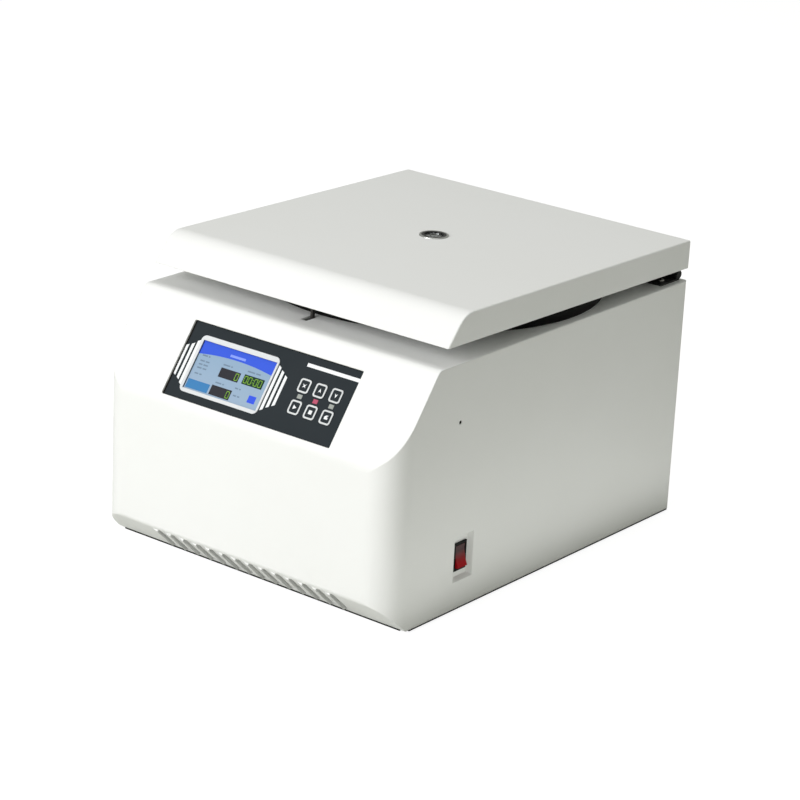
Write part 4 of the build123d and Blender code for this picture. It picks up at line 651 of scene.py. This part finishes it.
UNDERCUT_DEPTH = 32.0 * MM
UNDERCUT_RISE = 30.0 * MM
EDGE_LIFT = 3.0 * MM            # casing's lower edge above the table
SLOT_SHADE_BOX = (-128, 140, -17, 17.5)      # black sheet of painted slot shade: across and along the undercut, in millimetres
SLOT_SHADE_LAYER = (-3.8 * MM, -3.2 * MM)    # behind the undercut's face
SHADE_STRIP_LOW = 1.3 * MM            # lower face of the black strips of painted shadow above the table
FRONT_SHADE_STRIP_HALF = 192 * MM     # half length of the painted shadow strip along the front
FRONT_SHADE_STRIP = (0.2 * MM, 2.8 * MM)     # its front and rear edges, back from the undercut's foot
SIDE_SHADE_STRIP_X = 0.1998           # outer edge of the painted shadow strips along the sides
SIDE_SHADE_STRIP = 2.6 * MM           # their width
SIDE_SHADE_STRIP_START = 6 * MM       # their front end, back from the undercut's foot
SIDE_SHADE_STRIP_REAR = 0.252         # their rear end


def on_undercut(x, along, out):
    """Points on the undercut: x across, along it upwards from its middle, out along its outward normal.
    Y is the undercut's middle less along times its share of depth, less out times its share of rise.
    Z is the middle's height plus along times the share of rise, less out times the share of depth."""
    slope = math.hypot(UNDERCUT_DEPTH, UNDERCUT_RISE)
    back, rise = UNDERCUT_DEPTH / slope, UNDERCUT_RISE / slope
    x, along, out = np.broadcast_arrays(x, along, out)
    y = FRONT_Y + UNDERCUT_DEPTH / 2 - along * back - out * rise
    z = EDGE_LIFT + UNDERCUT_RISE / 2 + along * rise - out * back
    return np.stack([x, y, z], -1)


def as_given(x, y, z):
    """Points at the given x, y and z."""
    return np.stack(np.broadcast_arrays(x, y, z), -1)


def front_foot(finishes):
    """Black sheet of painted shade behind the air slots, and black strips of painted shadow in the gap under
    the casing's front and sides.
    """
    # the black sheet behind the slots is painted shade inside them
    screen = prints("slot_shade_screen", [box_outline(*metres(SLOT_SHADE_BOX))], *SLOT_SHADE_LAYER, on_undercut)
    on_cabinet(screen, slot_shade_mesh())
    foot = FRONT_Y + UNDERCUT_DEPTH
    front, rear = FRONT_SHADE_STRIP
    start = foot + SIDE_SHADE_STRIP_START
    # black strips in the gap under the casing are painted shadow
    outlines = [box_outline(-FRONT_SHADE_STRIP_HALF, FRONT_SHADE_STRIP_HALF, foot + front, foot + rear),
                box_outline(SIDE_SHADE_STRIP_X - SIDE_SHADE_STRIP, SIDE_SHADE_STRIP_X, start, SIDE_SHADE_STRIP_REAR),
                box_outline(-SIDE_SHADE_STRIP_X, -SIDE_SHADE_STRIP_X + SIDE_SHADE_STRIP, start, SIDE_SHADE_STRIP_REAR)]
    strip = prints("foot_shade_strip", outlines, SHADE_STRIP_LOW, EDGE_LIFT, as_given)
    on_cabinet(strip, finishes["painted_shade_black"])


# Display

UPPER_WINDOW = (-57.7, -30.6, 40.1, 50.7)      # left, right, lower and upper edge in millimetres
TIMER_WINDOW = (-25.5, 1.8, 40.6, 51.3)
LOWER_WINDOW = (-59.4, -31.9, 19.5, 30.4)
TITLE_BAR = (-53.5, -32.5, 64.0, 66.6)
TOUCH_BOX = (-92.0, -61.8, 19.4, 29.3)
MARK_BOX = (-8.8, 1.0, 23.7, 31.7)
FIELD_INSET = 0.2 * MM          # how much smaller the lit field is than the display
FIELD_CORNER = 0.4 * MM         # radius of its corners
ARCH_DEPTH = 10.8 * MM          # title band at its middle
ARCH_DROP = 4.2 * MM            # how much lower it reaches at its ends
ARCH_POINTS = 25
DIGIT_WIDTH = 4.1 * MM
DIGIT_HEIGHT = 7.4 * MM
DIGIT_SHRINK = (0.94, 0.97)     # share of its box that a digit takes up, across and up
DIGIT_INSET = 0.6 * MM          # digit's box, left of its own right edge below
DIGIT_LIFT = 1.7 * MM           # digit's foot above the window's lower edge
ONE_DIGIT = (-1.0,)             # right edges of the digits, from the window's right edge, in millimetres
FOUR_DIGITS = (-21.0, -15.2, -7.4, -1.6)
SEGMENT = 0.85 * MM             # width of a bar
ZERO = "abcdef"                 # bars of a zero, clockwise from the top one
COLON_SHIFT = -0.3 * MM         # colon's middle, from the window's middle
COLON_HALF = 0.5 * MM           # half a dot's width
COLON_UPS = (3.6, 6.6)          # lower edges of the dots above the window's, in millimetres
COLON_HEIGHT = 1.0              # a dot's height in millimetres
CAPTIONS = ((-88, 56.5, (7, 2)), (-88, 50.5, (6, 5)), (-88, 46.5, (5, 6)), (-88, 42.5, (6, 5)),
            (-88, 36.0, (5, 3)), (-57, 53.4, (9, 2)), (-24, 54.4, (10, 6)), (-57, 33.0, (8, 2)),
            (-30, 33.5, (4, 2)), (-28.5, 25.5, (4, 3)))      # left end, foot and the bars' lengths
CAPTION_HEIGHT = 1.5            # these too in millimetres
CAPTION_GAP = 1.6


def segment(kind, x, up):
    """Outline of one bar of a seven-bar digit whose lower left corner is at (x, up)."""
    w, h, t = DIGIT_WIDTH, DIGIT_HEIGHT, SEGMENT
    level = {"a": h, "g": h / 2, "d": 0.0}
    if kind in level:
        mid = level[kind]
        ends = [(0, mid), (t / 2, mid - t / 2), (w - t / 2, mid - t / 2), (w, mid), (w - t / 2, mid + t / 2),
                (t / 2, mid + t / 2)]
    else:
        side = {"b": w, "c": w, "e": 0.0, "f": 0.0}[kind]
        base = h / 2 if kind in "bf" else 0.0
        ends = [(side, base), (side + t / 2, base + t / 2), (side + t / 2, base + h / 2 - t / 2),
                (side, base + h / 2), (side - t / 2, base + h / 2 - t / 2), (side - t / 2, base + t / 2)]
    return np.array(ends) * DIGIT_SHRINK + (x, up)


def zeros():
    """Bars of all the zeros on the display, and the colon's two dots."""
    outlines = []
    for window, places in ((UPPER_WINDOW, ONE_DIGIT), (TIMER_WINDOW, FOUR_DIGITS),
                           (LOWER_WINDOW, ONE_DIGIT)):
        right, low = window[1], window[2]
        for place in places:
            x, up = (right + place) * MM - DIGIT_WIDTH - DIGIT_INSET, low * MM + DIGIT_LIFT
            outlines += [segment(kind, x, up) for kind in ZERO]
    left, right, low = TIMER_WINDOW[:3]
    middle = (left + right) / 2 * MM + COLON_SHIFT
    for up in COLON_UPS:
        outlines.append(box_outline(middle - COLON_HALF, middle + COLON_HALF, (low + up) * MM,
                                    (low + up + COLON_HEIGHT) * MM))
    return outlines


def title_band():
    """Blue band whose lower edge is a parabola: at each place it lies below the display's top by the depth at
    the middle plus the drop times the square of the place's share of the half width."""
    left, right = SCREEN_X - SCREEN_WIDTH / 2, SCREEN_X + SCREEN_WIDTH / 2
    top = SCREEN_UP + SCREEN_LENGTH / 2
    x = np.linspace(right, left, ARCH_POINTS)
    across = (x - SCREEN_X) / (SCREEN_WIDTH / 2)
    edge = top - ARCH_DEPTH - ARCH_DROP * across ** 2
    lower = np.stack([x, edge], -1)
    return [ordered(np.concatenate([[(left, top), (right, top)], lower]))]


def caption_bars():
    """Short plain bars in place of the small captions beside the windows."""
    bars = []
    for start, up, widths in CAPTIONS:
        for width in widths:
            bars.append(box_outline(*metres((start, start + width, up, up + CAPTION_HEIGHT))))
            start += width + CAPTION_GAP
    return bars


def display():
    """The lit screen: pale field, title band, windows, digits, caption bars and two touch areas.
    Each layer has a name, outlines, a height in ink layers, two colours and a brightness."""
    field = rounded(SCREEN_WIDTH - FIELD_INSET, SCREEN_LENGTH - FIELD_INSET, FIELD_CORNER, SCREEN_X,
                    SCREEN_UP)
    layers = [
        ("screen_field", [field], 1, (0.29, 0.385, 0.51), (0.225, 0.34, 0.475), 0.1),
        ("screen_title", title_band(), 2, (0.025, 0.07, 0.52), (0.035, 0.09, 0.58), 0.25),
        ("screen_windows", [box_outline(*metres(w)) for w in (UPPER_WINDOW, LOWER_WINDOW)], 2,
         (0.024, 0.024, 0.032), (0.022, 0.022, 0.03), 0.1),
        ("screen_timer", [box_outline(*metres(TIMER_WINDOW))], 2,
         (0.006, 0.028, 0.020), (0.008, 0.03, 0.018), 0.1),
        ("screen_digits", zeros(), 3, (0.14, 0.30, 0.03), (0.17, 0.34, 0.04), 0.35),
        ("screen_captions", caption_bars(), 2, (0.16, 0.23, 0.31), (0.14, 0.2, 0.28), 0.1),
        ("screen_title_bar", [box_outline(*metres(TITLE_BAR))], 3,
         (0.20, 0.28, 0.72), (0.20, 0.28, 0.72), 0.2),
        ("screen_touch", [box_outline(*metres(TOUCH_BOX))], 2,
         (0.045, 0.19, 0.42), (0.035, 0.16, 0.38), 0.12),
        ("screen_mark", [box_outline(*metres(MARK_BOX))], 2,
         (0.03, 0.075, 0.60), (0.035, 0.08, 0.62), 0.25),
    ]
    made = {}
    for name, outlines, layer, colour, shade, strength in layers:
        made[name] = lit(name, colour, shade, strength)
        on_cabinet(prints(name, outlines, SCREEN_FACE, SCREEN_FACE + layer * INK), made[name])
    dress(nodes["screen_module"], made["screen_field"])


# Keys

SYMBOL = 2.7 * MM               # size of a key's symbol: the outlines below are shares of it
ARROW = ((0, 1.0), (-0.72, -0.8), (0, -0.35), (0.72, -0.8))
PLAY = ((-0.72, -0.92), (0.95, 0.0), (-0.72, 0.92))
STOP = ((-0.8, -0.8), (0.8, -0.8), (0.8, 0.8), (-0.8, 0.8))
OPEN = ((-0.85, -0.8), (0.85, -0.8), (0.85, 0.1), (0.2, 0.1), (0.85, 0.85), (-0.1, 0.85), (-0.85, 0.3))
STAR_REACHES = (1.2, 0.36)      # of the star's points and of the notches between them
RING_OUTER = 0.3 * MM           # how much smaller the ring's outer and inner outlines are than the key
RING_INNER = 4.0 * MM
RING_CORNER = 1.4 * MM          # how much smaller the inner outline's corners are


def arrow(turn):
    """Notched arrow head pointing up, turned counter-clockwise by turn degrees."""
    angle = math.radians(turn)
    matrix = np.array([[math.cos(angle), -math.sin(angle)], [math.sin(angle), math.cos(angle)]])
    return np.array(ARROW) * SYMBOL @ matrix.T


def key_symbols():
    """One symbol for each key, row by row: four-pointed star, up, down, start, stop and open.
    The star's points and notches take turns at every eighth of a turn, from the upper right diagonal."""
    star = []
    for k in range(8):
        angle = math.radians(45 * k + 45)
        reach = SYMBOL * STAR_REACHES[k % 2]
        star.append((reach * math.cos(angle), reach * math.sin(angle)))
    plain = [np.array(outline) * SYMBOL for outline in (PLAY, STOP, OPEN)]
    return [star, arrow(0), arrow(180)] + plain


def key_print_pieces(finishes):
    """Outline and symbol on each key, riding on that key."""
    places = [(x, up) for up in KEY_ROWS for x in KEY_COLUMNS]
    low, high = KEY_FACE, KEY_FACE + INK
    for number, ((x, up), symbol) in enumerate(zip(places, key_symbols()), start=1):
        outer = rounded(KEY_WIDTH - RING_OUTER, KEY_LENGTH - RING_OUTER, KEY_CORNER, x, up)
        inner = rounded(KEY_WIDTH - RING_INNER, KEY_LENGTH - RING_INNER, KEY_CORNER - RING_CORNER, x, up)
        ring = ring_print("key_ring_" + str(number), outer, inner, low, high)
        mark = prints("key_mark_" + str(number), [ordered(np.asarray(symbol) + (x, up))], low, high)
        for piece, finish in ((ring, "key_print"), (mark, "pale_print")):
            dress(piece, finishes[finish])
            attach(piece, "key_button_" + str(number))


# Light, floor and camera

SKY_TINT = (0.985, 1.0, 0.92, 1)       # colour and strength of the sky's light on the part
SKY_LIGHT = 0.335
FLOOR_HALF = 6.0
FLOOR_PLAIN = (0.66, 0.67, 0.63, 1)    # what the floor sends back to the part
FLOOR_SHOWN = (0.30, 0.30, 0.30, 1)    # what the camera sees of it: this in the light, and the glow
FLOOR_GLOW = 0.86


def lamp(name, place, aim, size, power, colour=(1, 1, 1), length=None):
    """Area lamp at place, facing aim: square, or longer across it where a length is given."""
    data = bpy.data.lights.new(name, "AREA")
    data.shape = "RECTANGLE"
    data.size = size
    data.size_y = length or size
    data.energy = power
    data.color = colour
    light = bpy.data.objects.new(name, data)
    light.visible_camera = False
    bpy.context.scene.collection.objects.link(light)
    direction = np.array(aim, float) - np.array(place, float)
    flat = math.hypot(direction[0], direction[1])
    light.location = place
    light.rotation_euler = (math.atan2(flat, -direction[2]), 0, math.atan2(-direction[0], direction[1]))


def seen(tree):
    """1 for rays from the camera, straight or through glass, and 0 for light on its way to the part."""
    rays = tree.nodes.new("ShaderNodeLightPath")
    either = tree.nodes.new("ShaderNodeMath")
    either.operation = "MAXIMUM"
    tree.links.new(rays.outputs["Is Camera Ray"], either.inputs[0])
    tree.links.new(rays.outputs["Is Transmission Ray"], either.inputs[1])
    return either.outputs[0]


def studio():
    """Soft light from the front left and above, an even sky, and a white floor that keeps a faint shadow."""
    lamp("key_light", place=(-0.8, -3.4, 1.75), aim=(0, 0, 0.15), size=2.1, power=107,
         colour=(1.0, 0.995, 1.0))
    lamp("top_light", place=(0, 0.3, 3.2), aim=(0, 0, 0.3), size=1.6, power=27)
    lamp("side_glow", place=(0.35, 0.02, 0.004), aim=(0.35, 0.02, 1.0), size=0.22, power=0.30,
         colour=(0.99, 1.0, 0.98), length=0.7)
    world = bpy.data.worlds.new("studio_world")
    bpy.context.scene.world = world
    world.use_nodes = True
    tree = world.node_tree
    back = tree.nodes["Background"]
    in_view = seen(tree)
    tone = tree.nodes.new("ShaderNodeMix")
    tone.data_type = "RGBA"
    tone.inputs["A"].default_value = SKY_TINT
    tone.inputs["B"].default_value = (1, 1, 1, 1)
    tree.links.new(in_view, tone.inputs["Factor"])
    tree.links.new(tone.outputs["Result"], back.inputs["Color"])
    tree.links.new(span(tree, in_view, SKY_LIGHT, 1.0), back.inputs["Strength"])
    near, far = -FLOOR_HALF, FLOOR_HALF
    points = np.array([[(near, near, 0), (far, near, 0)], [(near, far, 0), (far, far, 0)]], float)
    floor = solid_grid("floor", points)
    floor.data.flip_normals()
    floor.data.materials.append(floor_material())


def floor_material():
    """White to the camera, with part of its brightness from the light so that a shadow stays."""
    material = bpy.data.materials.new("studio_floor")
    material.use_nodes = True
    tree = material.node_tree
    tree.nodes.clear()
    out = tree.nodes.new("ShaderNodeOutputMaterial")
    plain = add(tree, "ShaderNodeBsdfDiffuse", Color=FLOOR_PLAIN)
    shown = add(tree, "ShaderNodeBsdfDiffuse", Color=FLOOR_SHOWN)
    glow = add(tree, "ShaderNodeEmission", Color=(1, 1, 1, 1), Strength=FLOOR_GLOW)
    both = tree.nodes.new("ShaderNodeAddShader")
    mix = tree.nodes.new("ShaderNodeMixShader")
    tree.links.new(shown.outputs[0], both.inputs[0])
    tree.links.new(glow.outputs[0], both.inputs[1])
    tree.links.new(seen(tree), mix.inputs["Fac"])
    tree.links.new(plain.outputs[0], mix.inputs[1])
    tree.links.new(both.outputs[0], mix.inputs[2])
    tree.links.new(mix.outputs[0], out.inputs["Surface"])
    return material


def photo_camera():
    """Camera of the photograph: placed by azimuth, elevation and distance, then rolled about its own axis."""
    az, el, roll = (math.radians(a) for a in (CAMERA_AZIMUTH, CAMERA_ELEVATION, CAMERA_ROLL))
    back = np.array([math.sin(az) * math.cos(el), -math.cos(az) * math.cos(el), math.sin(el)])
    right = np.array([math.cos(az), math.sin(az), 0.0])
    up = np.cross(back, right)
    turned_right = math.cos(roll) * right + math.sin(roll) * up
    turned_up = -math.sin(roll) * right + math.cos(roll) * up
    place = np.array(CAMERA_TARGET) + back * CAMERA_DISTANCE
    data = bpy.data.cameras.new("photo_camera")
    data.lens = CAMERA_LENS
    data.sensor_width = SENSOR
    data.clip_end = 50
    camera = bpy.data.objects.new("photo_camera", data)
    bpy.context.scene.collection.objects.link(camera)
    matrix = np.eye(4)
    matrix[:3, 0], matrix[:3, 1], matrix[:3, 2], matrix[:3, 3] = turned_right, turned_up, back, place
    camera.matrix_world = Matrix(matrix.tolist())
    bpy.context.scene.camera = camera


bpy.context.scene.view_settings.view_transform = "Standard"
photo_camera()
finishes = dress_nodes()
front_print(finishes)
plate_shade_line(finishes)
front_foot(finishes)
display()
key_print_pieces(finishes)
studio()
